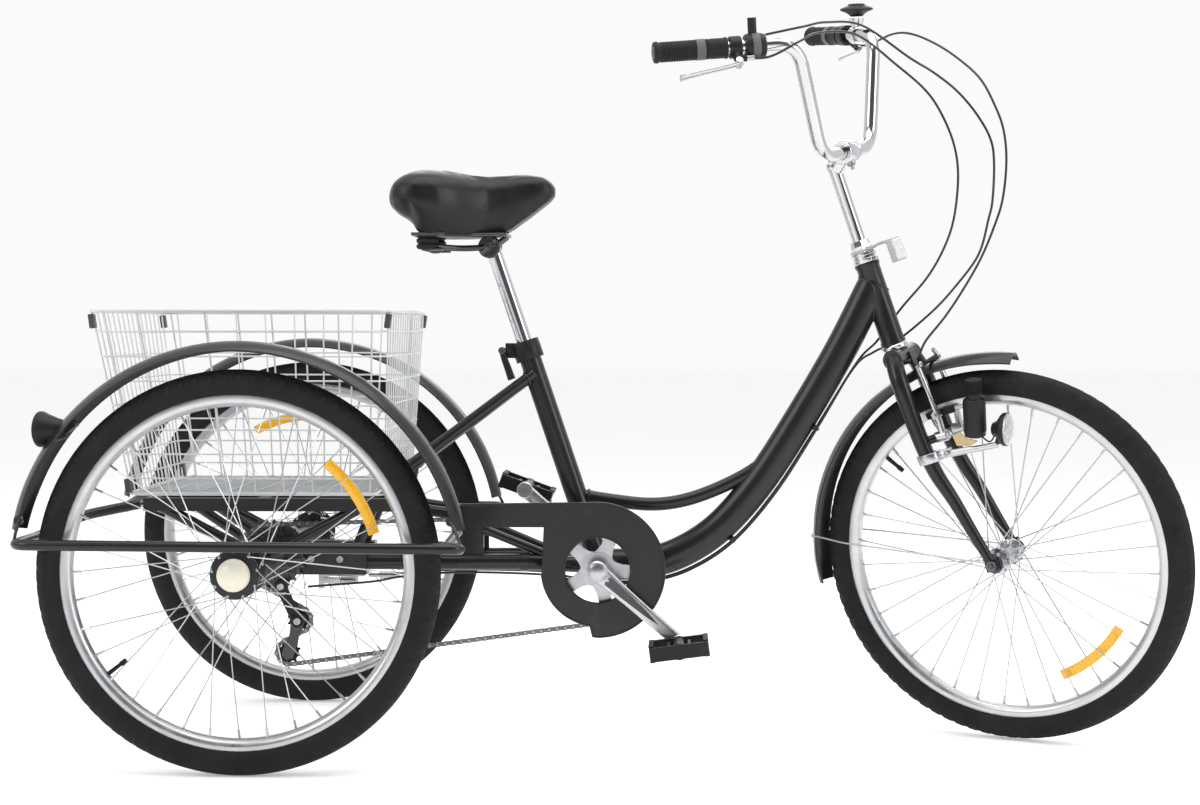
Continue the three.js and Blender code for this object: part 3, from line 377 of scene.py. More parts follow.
def prism(name, color, roughness, cell, painted_glow=0.0, clear=0.0):
    """Moulded reflector plastic: small prisms behind a glossy face, with a faint painted glow where asked."""
    nodes = Nodes(name)
    cells = nodes.add("ShaderNodeTexVoronoi", {"Vector": nodes.place, "Scale": cell}, feature="F1")
    tint = nodes.mix(nodes.ramp(cells.outputs[0], 0, 0.6, 0, 1), shade(color, 1.15), shade(color, 0.72))
    nodes.plug(Base_Color=tint, Roughness=roughness, Normal=nodes.bump(cells.outputs[0], 0.5, 0.001),
               Coat_Weight=0.8, Coat_Roughness=0.05, Transmission_Weight=clear)
    return nodes.plug(Emission_Color=shade(color, 1), Emission_Strength=painted_glow).material


# The amber reflectors get a faint painted glow, though they are no lamps.
amber = prism("reflector_amber", (0.95, 0.47, 0.0), 0.3, 420.0, painted_glow=0.15)
red_lens = prism("lens_red", (0.42, 0.01, 0.008), 0.22, 380.0)
white_lens = prism("lens_white", (0.86, 0.88, 0.90), 0.18, 300.0, clear=0.15)
lamp_glass = prism("lens_clear", (0.85, 0.87, 0.88), 0.08, 160.0, clear=0.5)


# ---- Pieces ----


def piece(name, shape, material, body, replaces=(), bevel=0.0, sharp=38.0, levels=0):
    """One visible object from a shape, riding on a body."""
    mesh = bpy.data.meshes.new(name)
    mesh.from_pydata(shape.verts, [], shape.faces)
    bm = bmesh.new()
    bm.from_mesh(mesh)
    bmesh.ops.recalc_face_normals(bm, faces=bm.faces)
    bm.to_mesh(mesh)
    bm.free()
    mesh.materials.append(material)
    mesh.polygons.foreach_set("use_smooth", [True] * len(mesh.polygons))
    mesh.set_sharp_from_angle(angle=math.radians(sharp))
    obj = bpy.data.objects.new(name, mesh)
    bpy.context.scene.collection.objects.link(obj)
    if bevel:
        rounding = obj.modifiers.new("edges", "BEVEL")
        rounding.width = bevel * MM
        rounding.segments = 2
        rounding.limit_method = "ANGLE"
        rounding.angle_limit = math.radians(sharp)
        rounding.harden_normals = True
    if levels:
        obj.modifiers.new("smooth", "SUBSURF").levels = levels
        obj.modifiers["smooth"].render_levels = levels
    if body:
        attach(obj, body)
    for node in replaces:
        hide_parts(node)
    return obj


# ---- Wheels ----

SPOKES = 36
RIM_RADIUS = 264.0
RIM_BED = 245.0
TYRE_MIDDLE = 277.0


def tyre_shape(centre, axis):
    """A round casing with three fine sidewall ribs and a blocky tread in two staggered rows."""
    around = [Vector((math.cos(t), math.sin(t))) for t in
              (math.radians(-126 + 252 * k / 34) for k in range(35))]
    blocks = 84
    across_side = axis.orthogonal().normalized()
    across_other = axis.cross(across_side)
    rings = []
    for i in range(blocks):
        for t, raised in ((0.0, 1), (0.6, 1), (0.68, 0), (0.92, 0)):
            angle = TAU * (i + t) / blocks
            way = across_side * math.cos(angle) + across_other * math.sin(angle)
            ring = []
            for k, direction in enumerate(around):
                off_centre = abs(k - 17)
                lift = 0.0
                if off_centre <= 1:
                    lift = 1.1
                elif 3 <= off_centre <= 5:
                    lift = 1.3 * raised
                elif 7 <= off_centre <= 10:
                    lift = 2.8 * (1 - raised)
                elif off_centre in (13, 15):
                    lift = 0.5
                radius = TYRE_MIDDLE + (22.0 + lift) * direction.x
                ring.append(centre + (way * radius + axis * (21.4 + lift * 0.4) * direction.y) * MM)
            ring.append(centre + (way * (RIM_RADIUS - 3) + axis * 9) * MM)
            ring.append(centre + (way * (RIM_RADIUS - 3) - axis * 9) * MM)
            rings.append(ring)
    return Shape().skin(rings, loop=True)


def rim_shape(centre, axis):
    """A hollow-looking alloy rim: braking walls, a shallow well and two flanges."""
    half = [(245.0, 0), (245.6, 4), (248.5, 9), (253, 12.2), (256.5, 12.8), (263.0, 12.8), (264.6, 12.2),
            (264.6, 10.6), (261.0, 10.4), (258.5, 6)]
    profile = [*half, *[(r, -y) for r, y in reversed(half[1:])], half[0]]
    return Shape().lathe(profile, centre, axis, 144)


def wheel(name, body, nodes, centre, axis, forward, hub, reflector, valve):
    """A wheel in its own plane: forward and the direction square to it carry every angle, in degrees."""
    upward = forward.cross(axis)
    way = lambda degrees: forward * math.cos(math.radians(degrees)) + upward * math.sin(math.radians(degrees))
    place = lambda degrees, radius, y: centre + (way(degrees) * radius + axis * y) * MM
    wheel_node, tyre_node = nodes
    piece(f"{name}_tyre", tyre_shape(centre, axis), tyre_rubber, body, [tyre_node], sharp=30)
    piece(f"{name}_rim", rim_shape(centre, axis), brushed, body, [wheel_node])
    shell = Shape().lathe(hub["profile"], centre, axis, 48)
    piece(f"{name}_hub", shell, hub["material"], body, bevel=0.5)

    wires, nipples, heads = Shape(), Shape(), Shape()
    flange, offset = hub["flange"], hub["offset"]
    for i in range(SPOKES):
        side = 1 if i % 2 else -1
        lean = 1 if i % 4 < 2 else -1
        turn = 360 * i / SPOKES
        y = side * (offset + lean * 2.4)
        inner = place(turn + lean * 52, flange - 3.5, y)
        outer = place(turn, RIM_BED + 1, side * 3)
        wires.tube([inner, outer], 1.0, 6)
        run = (outer - inner).normalized()
        nipples.rod(outer - run * 13 * MM, outer, 1.9, 2.2, 8)
        heads.lathe([(0, 0), (2.1, 0), (2.1, 0.9), (1.2, 1.7), (0, 1.9)], inner, axis * (side * lean), 10)
    piece(f"{name}_spokes", wires, spoke_steel, body)
    piece(f"{name}_nipples", nipples, alloy, body)
    piece(f"{name}_spoke_heads", heads, spoke_steel, body)

    stem = Shape().tube([place(valve, RIM_BED + 2, 0), place(valve, 232, 0), place(valve, 222, 0)],
                        [3.6, 3.2, 3.0], 14)
    stem.tube([place(valve, 222, 0), place(valve, 212, 0)], [4.0, 3.6], 14)
    piece(f"{name}_valve", stem, tyre_rubber, body, bevel=0.4)

    # The reflector bridges a few spokes, curved along the wheel.
    angle, radius, half_angle = reflector
    line = arc(centre + axis * 4 * MM, radius, angle - half_angle, angle + half_angle, 14, forward, upward)
    section = [(-3.5, -8), (3.5, -8), (5, -6), (5, 6), (3.5, 8), (-3.5, 8), (-5, 6), (-5, -6)]
    piece(f"{name}_reflector", Shape().sweep(line, section, axis), amber, body, bevel=1.0)
    clips = Shape()
    for t in (-0.8, 0.8):
        spot = place(angle + half_angle * t, radius, 4)
        clips.rod(spot - axis * 7 * MM, spot + axis * 7 * MM, 4.2, 4.2, 6)
    piece(f"{name}_reflector_clips", clips, amber, body, bevel=0.5)


flange_black = {
    "flange": 37.0, "offset": 24.0, "material": paint,
    "profile": [(10.5, -30), (18, -30), (19, -28.5), (19, -27.5), (36, -26.6), (37, -25.6), (37, -22),
                (36, -21.2),
                (24, -20), (20, -14), (19, 0), (20, 14), (24, 20), (36, 21.2), (37, 22), (37, 25.6),
                (36, 26.6),
                (19, 27.5), (19, 28.5), (18, 30), (10.5, 30), (10.5, -30)],
}
front_hub = {
    "flange": 21.0, "offset": 31.0, "material": alloy,
    "profile": [(5.2, -44), (9, -44), (12, -42), (12.5, -36), (13.5, -33.5), (20.5, -33), (21, -32.5),
                (21, -29.5),
                (20.5, -29), (13, -27), (11.5, -14), (11, 0), (11.5, 14), (13, 27), (20.5, 29), (21, 29.5),
                (21, 32.5), (20.5, 33), (13.5, 33.5), (12.5, 36), (12, 42), (9, 44), (5.2, 44), (5.2, -44)],
}

rear_wheel_y = {side: sign * abs(sum(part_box(f"tyre_{side}")[i].y for i in (0, 1))) / 2 / MM for side,
                sign in SIDES}
for side, body, reflector, valve in (("right", "drive_axle", (33.5, 209, 17.5), 217.8),
                                     ("left", "wheel_left", (107.5, 205, 12), 96)):
    centre = at(0, rear_wheel_y[side], axle.z / MM)
    wheel(f"wheel_{side}", body, (f"spoked_wheel_{side}", f"tyre_{side}"), centre, Y, X, flange_black,
          reflector,
          valve)

front_centre = joint_place("front_wheel_spin")
wheel("wheel_front", "front_wheel", ("spoked_wheel_front", "tyre_front"), front_centre, wheel_across,
      head_ahead,
      front_hub, (-48.8 - math.degrees(head_lean), 208, 17.5), 141 - math.degrees(head_lean))

# Domed cream caps over the ends of the rear axle.
for side, sign in SIDES:
    body = "drive_axle" if side == "right" else "wheel_left"
    inner = rear_wheel_y[side] * sign + 31
    dome = [(11.5, inner), (24, inner), (24.4, inner + 1), (24.2, inner + 7), (22.8, inner + 11.5),
            (19, inner + 15.5), (12, inner + 18.2), (5, inner + 19.2), (0.2, inner + 19.4)]
    inside = [(0.2, inner + 17), (11.5, inner + 15)]
    profile = [(r, sign * y) for r, y in (*dome, *inside, dome[0])]
    piece(f"cap_{side}", Shape().lathe(profile, at(0, 0, axle.z / MM), Y, 64), cream, body,
          [f"hub_cap_{side}"])

drum_low, drum_high = -26.0, 2.0
axle_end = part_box("rear_axle")[1].y / MM
shaft = [(0.2, -axle_end), (8, -axle_end), (9, -axle_end + 1), (9, drum_low), (40, drum_low),
         (42, drum_low + 2),
         (42, drum_high - 2), (40, drum_high), (9, drum_high), (9, axle_end - 1), (8, axle_end),
         (0.2, axle_end)]
piece("axle_shaft", Shape().lathe(shaft, at(0, 0, axle.z / MM), Y, 64), steel, "drive_axle", ["rear_axle"])

# ---- Drive train ----

PITCH = 12.7
CHAIN_Y = -75.0
pitch_radius = lambda teeth: PITCH / (2 * math.sin(math.pi / teeth))
RING_TEETH, COG_TEETH = 42, 24

cogs = Shape()
for i, teeth in enumerate((28, 24, 22, 20, 18, 16, 14)):
    radius = pitch_radius(teeth) - 1.0
    middle = CHAIN_Y - (i - 1) * 4.6
    cogs.gear(axle, Y, teeth, radius - 3.6, radius + 1.6, 19 if i < 6 else 10, middle - 0.9, middle + 0.9)
    cogs.lathe([(9.6, middle - 2.3), (21, middle - 2.3), (21, middle + 2.3), (9.6, middle + 2.3),
                (9.6, middle - 2.3)], axle, Y, 32)
for k in range(7):
    angle = TAU * k / 7
    way = X * math.cos(angle) + Z * math.sin(angle)
    cogs.rod(axle + way * 24 * MM + Y * (CHAIN_Y + 6) * MM, axle + way * 24 * MM + Y * (CHAIN_Y - 22) * MM,
             2, sides=10)
piece("cassette_cogs", cogs, dark_steel, "cassette", ["cassette"], bevel=0.25)


def belt(wheels, arc_steps=28):
    """The line of a belt round wheels of (x, z, radius, side), dense enough to lay links on."""
    count = len(wheels)
    heading = []
    for (x, z, radius, side), (x2, z2, radius2, side2) in zip(wheels, wheels[1:] + wheels[:1]):
        away = Vector((x2 - x, z2 - z))
        change = side2 * radius2 - side * radius
        heading.append(math.atan2(away.y, away.x) - math.asin(change / away.length))
    line = []
    for i, (x, z, radius, side) in enumerate(wheels):
        arriving = heading[(i + count - 1) % count]
        swing = side * (((heading[i] - arriving) * side) % TAU)
        for k in range(arc_steps + 1):
            angle = arriving + swing * k / arc_steps - math.pi / 2
            line.append(Vector((x + side * radius * math.cos(angle), z + side * radius * math.sin(angle))))
    return line


def evenly(line, pitch):
    """Points along a closed line, one pitch apart, stretched a little to close without a gap."""
    closed = [*line, line[0]]
    lengths = [(b - a).length for a, b in zip(closed, closed[1:])]
    total = sum(lengths)
    count = round(total / pitch / 2) * 2
    spots, travelled, segment = [], 0.0, 0
    for k in range(count):
        goal = total * k / count
        while travelled + lengths[segment] < goal:
            travelled += lengths[segment]
            segment += 1
        spots.append(closed[segment].lerp(closed[segment + 1],
                                          (goal - travelled) / max(lengths[segment], 1e-6)))
    return spots


crank_x, crank_z = (crank_centre.x - axle.x) / MM, crank_centre.z / MM
guide, tension = (46.0, 197.0), (30.0, 146.0)
PULLEY = 20.0
route = belt([(crank_x, crank_z, pitch_radius(RING_TEETH), 1), (0, axle.z / MM, pitch_radius(COG_TEETH), 1),
              (*guide, PULLEY, -1), (*tension, PULLEY, 1)])
pins = evenly(route, PITCH)
links, rollers = Shape(), Shape()
for i, (a, b) in enumerate(zip(pins, pins[1:] + pins[:1])):
    u2 = (b - a).normalized()
    u = Vector((u2.x, 0, u2.y))
    v = Vector((-u2.y, 0, u2.x))
    middle = at((a.x + b.x) / 2, CHAIN_Y, (a.y + b.y) / 2)
    half = (b - a).length / 2
    outline = []
    for k in range(16):
        t = TAU * k / 16
        end = half if math.cos(t) > 0 else -half
        waist = 0.72 if abs(math.cos(t)) < 0.3 else 1.0
        outline.append((end * (1 if abs(math.cos(t)) > 0.3 else 0.25) + 3.9 * math.cos(t),
                        3.9 * math.sin(t) * waist))
    y = 2.9 if i % 2 else 1.9
    for side in (-1, 1):
        links.slab(outline, sorted((side * y, side * (y + 0.9))), middle, u, v)
    here = at(a.x, CHAIN_Y, a.y)
    rollers.rod(here - Y * 1.9 * MM, here + Y * 1.9 * MM, 3.6, sides=12)
    rollers.rod(here - Y * 4.1 * MM, here + Y * 4.1 * MM, 1.7, sides=8)
# The chain moves sideways with the derailleur at its back end, and stays on the chainring at its front end,
# so here it rides on no body and stays where it is built.
for run in (piece("chain_plates", links, dark_steel, None, ["chain"]),
            piece("chain_rollers", rollers, steel, None)):
    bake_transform(run)

crank_angle = math.degrees(math.atan2(joint_place("pedal_right_spin").z - crank_centre.z,
                                      joint_place("pedal_right_spin").x - crank_centre.x))
ring_radius = pitch_radius(RING_TEETH)
ring = Shape().gear(crank_centre, Y, RING_TEETH, ring_radius - 4.4, ring_radius + 1.2, ring_radius - 19,
                    CHAIN_Y - 1.1, CHAIN_Y + 1.1)
piece("chainring_teeth", ring, dark_steel, "crank", bevel=0.25)
spider = Shape()
spider.lathe([(15.6, -1.6), (27, -1.6), (29, 0), (27, 1.6), (15.6, 1.6), (15.6, -1.6)],
             crank_centre + Y * CHAIN_Y * MM, Y, 48)
for k in range(5):
    angle = math.radians(crank_angle + 36 + 72 * k)
    u = X * math.cos(angle) + Z * math.sin(angle)
    v = -X * math.sin(angle) + Z * math.cos(angle)
    arm = [(20, -17), (28, -13), (38, -10.5), (54, -10.5), (66, -14), (72, -11), (72, 11), (66, 14),
           (54, 10.5),
           (38, 10.5), (28, 13), (20, 17)]
    spider.slab(arm, (-1.4, 1.4), crank_centre + Y * CHAIN_Y * MM, u, v)
    bolt(spider, crank_centre + u * 65 * MM + Y * (CHAIN_Y - 1.4) * MM, -Y, 4.2, 2.4)
piece("chainring_spider", spider, alloy, "crank", ["chainring"], bevel=0.5)

for side, sign in SIDES:
    end = joint_place(f"pedal_{side}_spin")
    end = Vector((end.x, 0, end.z))
    along = (end - crank_centre).normalized()
    square = along.cross(Y).normalized()
    length = (end - crank_centre).length / MM
    arm = Shape()
    rings = []
    for t in [k / 14 for k in range(15)]:
        half_high = 15 - 3.5 * t - 1.6 * math.sin(math.pi * t)
        half_deep = 6.6 - 0.9 * math.sin(math.pi * t)
        spot = crank_centre + (along * length * t + Y * sign * 105.5) * MM
        rings.append([spot + (square * half_high * math.copysign(abs(math.cos(q)) ** 0.55, math.cos(q))
                              + Y * half_deep * math.copysign(abs(math.sin(q)) ** 0.55, math.sin(q))) * MM
                      for q in (TAU * k / 20 for k in range(20))])
    arm.skin(rings)
    inner = 62 if sign < 0 else 40
    for spot, low, high, radius in ((crank_centre, inner, 115, 16.5), (end, 98.5, 112.5, 13.2)):
        profile = [(0.2, low), (radius - 1, low), (radius, low + 1), (radius, high - 1.5),
                   (radius - 1.5, high),
                   (0.2, high)]
        arm.lathe([(r, y * sign) for r, y in profile], spot, Y, 40)
    arm.rod(end + Y * sign * 101 * MM, end + Y * sign * 196 * MM, 6, 4.5, 20)
    piece(f"crank_arm_{side}", arm, brushed, "crank", [f"crank_{side}"])
    # No groove is cut into the arm: a thin dark strip laid on its outer face is painted shade where the
    # groove would be.
    painted_groove_shade = Shape()
    hollow = [(22, -8), (60, -6.5), (104, -3.5), (128, 0), (104, 3.5), (60, 6.5), (22, 8), (18, 0)]
    depth = (-0.4, 0.4)
    painted_groove_shade.slab(hollow, depth, crank_centre + Y * sign * 111.3 * MM, along, square)
    piece(f"crank_painted_groove_shade_{side}", painted_groove_shade, dark_steel, "crank", bevel=0.3)
    dome = [(0.2, 0), (14, 0), (13.4, 1.6), (10, 3.4), (5, 4.4), (0.2, 4.7)]
    cap = Shape().lathe([(r, y * sign) for r, y in dome], crank_centre + Y * sign * 114.8 * MM, Y, 36)
    piece(f"crank_cap_{side}", cap, alloy, "crank")
bottom_axle = Shape().rod(crank_centre - Y * 61 * MM, crank_centre + Y * 41 * MM, 8)
piece("bottom_axle", bottom_axle, steel, "crank")

PEDAL_TILT = {"right": -0.13, "left": 0.35}
for side, sign in SIDES:
    body = f"pedal_{side}"
    centre = joint_place(f"pedal_{side}_spin")
    middle = Vector((centre.x, sign * 164 * MM, centre.z))
    tilt = Matrix.Rotation(PEDAL_TILT[side], 3, "Y")
    put = lambda x, y, z: middle + tilt @ Vector((x, y, z)) * MM
    block = Shape().lathe([(6.6, -44), (12, -44), (13, -40), (10, -34), (10, 34), (13, 40), (12, 44),
                           (6.6, 44),
                           (6.6, -44)], middle, Y, 32)
    for end in (-1, 1):
        block.box((90, 7, 22), put(0, end * 41, 0), tilt)
        block.box((7, 84, 21), put(end * 42, 0, 0), tilt)
        block.box((5, 84, 14), put(end * 16, 0, 0), tilt)
        for k in range(9):
            for high in (-1, 1):
                block.box((8, 4.5, 3), put(end * 42, -34 + 8.5 * k, high * 11.5), tilt)
    piece(f"pedal_block_{side}", block, plastic, body, [f"pedal_{side}"], bevel=0.8)
    glints = Shape()
    for end in (-1, 1):
        glints.box((1.6, 46, 11), put(end * 45.4, 0, 0), tilt)
    piece(f"pedal_reflectors_{side}", glints, amber, body, bevel=0.4)

# Chain guard: a ring round the chainring's face with an arm back along the chain.
guard_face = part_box("chain_guard")[0].y
WINDOW, WIDE_RIM, NARROW_RIM = 52.0, 106.0, 88.5
STEP, NECK = 184.0, 270.0


def guard_point(x, z, y):
    return Vector((crank_centre.x + x * MM, guard_face + y * MM, crank_centre.z + z * MM))


# Clockwise from the top: the wide rim as far as the step under the ring, then the narrower one.
guard_edge = []
for k in range(96):
    turned_by = 360 * k / 96
    angle = math.radians(90 - turned_by)
    guard_edge.append((math.cos(angle), math.sin(angle), WIDE_RIM if turned_by <= STEP else NARROW_RIM))
shield = Shape()
rings = []
for c, s, rim in guard_edge:
    corners = ((WINDOW, 0.3), (WINDOW, 2.7), (rim, 2.7), (rim, 0.3))
    rings.append([guard_point(r * c, r * s, y) for r, y in corners])
shield.skin(rings, loop=True)
GUARD_BACK, ARM_LOW, ARM_HIGH = -221.0, 67.0, 103.0
band = [(0, WIDE_RIM - 0.2), (GUARD_BACK + 6, ARM_HIGH), (GUARD_BACK, ARM_HIGH - 6),
        (GUARD_BACK, ARM_LOW + 6),
        (GUARD_BACK + 6, ARM_LOW), (-85, ARM_LOW), (-88.4, 0), (-60, 0), (-45, 40), (0, 60)]
shield.slab(band, (0.1, 2.3), guard_point(0, 0, 2.9), X, Z)
piece("guard_plate", shield, paint, "frame", ["chain_guard"], bevel=0.6)
rim_line = [guard_point((rim - 0.6) * c, (rim - 0.6) * s, 1.2) for c, s,
            rim in guard_edge if c > -0.999 or s > 0]
rim_line = rim_line[: int(96 * NECK / 360)]
lip = Shape().tube(rim_line, 2.0, 10)
lip.tube(steps_between(guard_point(0, WIDE_RIM - 0.6, 1.2),
                       guard_point(GUARD_BACK + 6, ARM_HIGH - 0.6, 1.2), 4), 2.0, 10)
lip.tube(arc(guard_point(0, 0, 1.2), WINDOW + 0.6, 0, 354, 59), 1.8, 8, loop=True)
piece("guard_bead", lip, paint, "frame")

# Derailleur: a parallelogram arm, its hanger and a cage with two toothed pulleys.
arm_y = CHAIN_Y - 14
mech = Shape()
hanger, knuckle = at(20, arm_y, 252), at(guide[0], arm_y, guide[1])
for shift in (-5.0, 5.0):
    offset = Vector((shift, 0, shift * 0.5)) * MM
    mech.rod(hanger + offset - Y * 1.5 * MM, knuckle + offset - Y * 1.5 * MM, 3.4, sides=12)
mech.box((13, 6, 34), hanger.lerp(knuckle, 0.5) - Y * 2 * MM, Matrix.Rotation(-0.44, 3, "Y"))
for spot, radius in ((hanger, 11.5), (knuckle, 10.5)):
    mech.lathe([(0.2, -6), (radius - 2, -6), (radius, -4), (radius, 4.6), (0.2, 4.6)], spot, Y, 32)
piece("derailleur_body", mech, plastic, "derailleur", ["derailleur_arm"], bevel=0.7)
mech_bolts = Shape()
for spot in (hanger, knuckle):
    bolt(mech_bolts, spot - Y * 6 * MM, -Y, 5.5, 2.5)
piece("derailleur_bolts", mech_bolts, steel, "derailleur")

cage = Shape()
way = (at(tension[0], 0, tension[1]) - at(guide[0], 0, guide[1])).normalized()
out = way.cross(Y)
outline = [(-12, -7), (-8, -11), (8, -10), (26, -7), (46, -10), (60, -9), (66, 0), (60, 9), (46, 10), (26, 7),
           (8, 10), (-8, 11), (-12, 7)]
for y in (CHAIN_Y - 6.8, CHAIN_Y + 5.4):
    cage.slab(outline, (0, 1.4), at(guide[0], y, guide[1]), way, out)
for spot in (guide, tension):
    cage.rod(at(spot[0], CHAIN_Y - 7, spot[1]), at(spot[0], CHAIN_Y + 7, spot[1]), 3.4, sides=16)
piece("cage_plates", cage, dark_steel, "derailleur_cage", ["derailleur_cage"], bevel=0.3)
pulleys = Shape()
for spot in (guide, tension):
    pulleys.gear(at(spot[0], CHAIN_Y, spot[1]), Y, 10, PULLEY - 4.6, PULLEY - 1.0, 4, -1.3, 1.3)
piece("cage_pulleys", pulleys, plastic, "derailleur_cage", bevel=0.3)

# ---- Main frame ----

tubes = Shape()
down_line = smooth([at(x, 0, z) for x, z in ((521, 279), (590, 282), (650, 299), (714, 341), (778, 415),
                                             (842, 514), (906, 624), (951, 714), (961, 734))], 8)
tubes.tube(down_line, 26, 28, side=Y, squash=0.76)
step_line = smooth([at(x, 0, z) for x, z in ((484, 392), (540, 383), (600, 377), (650, 382), (700, 398),
                                             (754, 424), (792, 450))], 8)
tubes.tube(step_line, [12.4] + [11] * (len(step_line) - 2) + [12.4], 20)
tubes.rod(crank_centre, seat_line(633), 17.5, sides=36)
tubes.lathe([(10, -34), (20.5, -34), (21, -33.4), (21, 33.4), (20.5, 34), (10, 34), (10, -34)],
            crank_centre, Y, 48)
HEAD_LOW, HEAD_HIGH = -280.0, -143.0
tubes.lathe([(14, HEAD_LOW), (20.2, HEAD_LOW), (20.4, HEAD_LOW + 5), (19, HEAD_LOW + 8), (19, HEAD_HIGH - 8),
             (20.4, HEAD_HIGH - 5), (20.2, HEAD_HIGH), (14, HEAD_HIGH), (14, HEAD_LOW)], head, head_up, 48)
spread = 48
for _, sign in SIDES:
    y = sign * spread
    tubes.rod(seat_line(588, sign * 12), at(219, y, 440), 9.5, sides=24, flare=1.8)
    tubes.tube(bent([at(219, y, 444), at(214, y, 422), at(211, y, 399)], 8), 7, 18)
    tubes.tube(smooth([at(505, sign * 24, 281), at(450, sign * 38, 285), at(400, y, 288), at(330, y, 288),
                       at(60, y, 288)], 6), 13, 24)
    tubes.rod(at(455, sign * 40, 292), at(338, y, 340), 7, sides=20, flare=1.5)
    tubes.box((34, 8, 84), at(321, y, 322))
    tubes.rod(at(330, y, 358), at(217, y, 375), 9, sides=24, flare=1.5)
tubes.rod(at(321, -spread, 352), at(321, spread, 352), 9, sides=24, flare=1.5)
piece("frame_tubes", tubes, paint, "frame", ["main_frame"], bevel=0.5)


def weld(shape, centre, axis, radius, tall=1.0):
    """A bead of weld, rippled, round a tube where it meets another."""
    side = axis.orthogonal().normalized()
    other = axis.cross(side)
    line = [centre + (side * math.cos(TAU * k / 48) + other * math.sin(TAU * k / 48) * tall) * radius * MM
            for k in range(48)]
    radii = [2.0 + 0.35 * math.sin(k * 2.1) for k in range(48)]
    return shape.tube(line, radii, 8, loop=True)


beads = Shape()
seat_way = joint_axis("seat_height")
weld(beads, crank_centre + seat_way * 21 * MM, seat_way, 18)
weld(beads, at(504, 0, 388.5), X, 11.5)


def reach_head_tube(place, way):
    """Where a line from a place reaches the head tube's wall."""
    flat = lambda v: v - head_up * v.dot(head_up)
    p, w = flat(place - head), flat(way)
    half, rest = p.dot(w), p.dot(p) - (19 * MM) ** 2
    return place - way * (half + math.sqrt(max(0.0, half * half - w.dot(w) * rest))) / w.dot(w)


tube_way = (at(951, 0, 714) - at(906, 0, 624)).normalized()
tube_up = tube_way.cross(Y)
ring = [at(906, 0, 624) + (tube_up * 26 * math.cos(TAU * k / 48) + Y * 18.6 * math.sin(TAU * k / 48)) * MM
        for k in range(48)]
beads.tube([reach_head_tube(place, tube_way) for place in ring], 1.9, 8, loop=True)
for _, sign in SIDES:
    way = (at(219, sign * spread, 440) - seat_line(588, sign * 12)).normalized()
    weld(beads, seat_line(588, sign * 12) + way * 14 * MM, way, 10)
    weld(beads, at(338, sign * spread, 357), X, 9.3)
piece("frame_welds", beads, paint, "frame")

# Rear frame: platform, the clamps that hold the beams, and the axle's housings.
plat_low, plat_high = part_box("rear_frame")
back, front = (plat_low.x - axle.x) / MM, (plat_high.x - axle.x) / MM
rail, half_width, high = 10.0, 150.0, 386.0
deck = Shape()
for x in (back + rail, 0, front - rail):
    deck.box((20, 2 * half_width - 2, 19.6), at(x, 0, high))
for _, sign in SIDES:
    y = sign * spread
    deck.box((front - back, 20, 20), at((front + back) / 2, sign * (half_width - rail), high))
    deck.box((front - back, 16, 20), at((front + back) / 2, y, high))
    deck.box((172, 32, 44), at(66, y, 290))
    for end in (-1, 1):
        deck.rod(at(end * 160, sign * 140, 384), at(end * 6, sign * 140, 304), 9, sides=20, flare=1.5)
        deck.rod(at(15 + end * 150, y, 384), at(60 + end * 70, y, 300), 8, sides=20, flare=1.5)
    low, high_end = (112, 284) if sign < 0 else (64, 284)
    sleeve = [(9.6, low), (15, low), (16, low + 1), (16, high_end - 8), (18, high_end - 7),
              (18, high_end - 1),
              (17, high_end), (9.6, high_end), (9.6, low)]
    deck.lathe([(r, sign * t) for r, t in sleeve], at(0, 0, axle.z / MM), Y, 40)
piece("rear_frame_tubes", deck, paint, "frame", ["rear_frame"], bevel=1.6)

clamp_bolts = Shape()
for _, sign in SIDES:
    for x in (41, 64, 110):
        bolt(clamp_bolts, at(x, sign * 64, 293), Y * sign, 6.5, 4)
    for x in (back + rail, front - rail):
        bolt(clamp_bolts, at(x, sign * 128, 396), Z, 5, 3)
piece("frame_bolts", clamp_bolts, steel, "frame")

# Guard tubes, one bent loop on each side. The flattened tabs where the fenders are bolted to them are not
# modelled.
fender_y = {side: sign * 324.0 for side, sign in SIDES}
for side, sign in SIDES:
    corners = ((back - 9, 140, 386), (-270, 190, 372), (-318, 250, 346), (-318, 385, 346), (338, 385, 342),
               (284, 218, 330), (264, 63, 298))
    line = bent([at(x, sign * y, z) for x, y, z in corners], 26, 10)
    piece(f"guard_loop_{side}", Shape().tube(line, 8, 22), paint, "frame", [f"guard_tube_{side}"])

FENDER_RADIUS = 342.0


def fender_section(half_width, drop=14.0, thick=1.3):
    """An arched strip with a rolled edge, as (across, outward) pairs."""
    top = [(t, -drop * t * t) for t in (k / 6 for k in range(-6, 7))]
    upper = [(a * half_width, b) for a, b in top]
    lower = [(a * (half_width - thick), b - thick) for a, b in reversed(top)]
    return upper + lower


def fender(name, node, body, centre, radius, half_width, start, end, forward, upward, across):
    line = arc(centre, radius, start, end, 72, forward, upward)
    section = [(-a, b) for a, b in fender_section(half_width)]
    shape = Shape()
    rings = []
    for i, spot in enumerate(line):
        outward = (spot - centre).normalized()
        taper = min(1.0, 0.74 + 0.05 * min(i, len(line) - 1 - i))
        rings.append([spot + (across * a * taper + outward * b) * MM for a, b in section])
    shape.skin(rings)
    for sign in (-1, 1):
        edge = []
        for i, spot in enumerate(line):
            outward = (spot - centre).normalized()
            taper = min(1.0, 0.74 + 0.05 * min(i, len(line) - 1 - i))
            edge.append(spot + (across * sign * (half_width - 0.4) * taper - outward * 14.2) * MM)
        shape.tube(edge, 1.7, 10)
    return piece(name, shape, paint, body, [node])


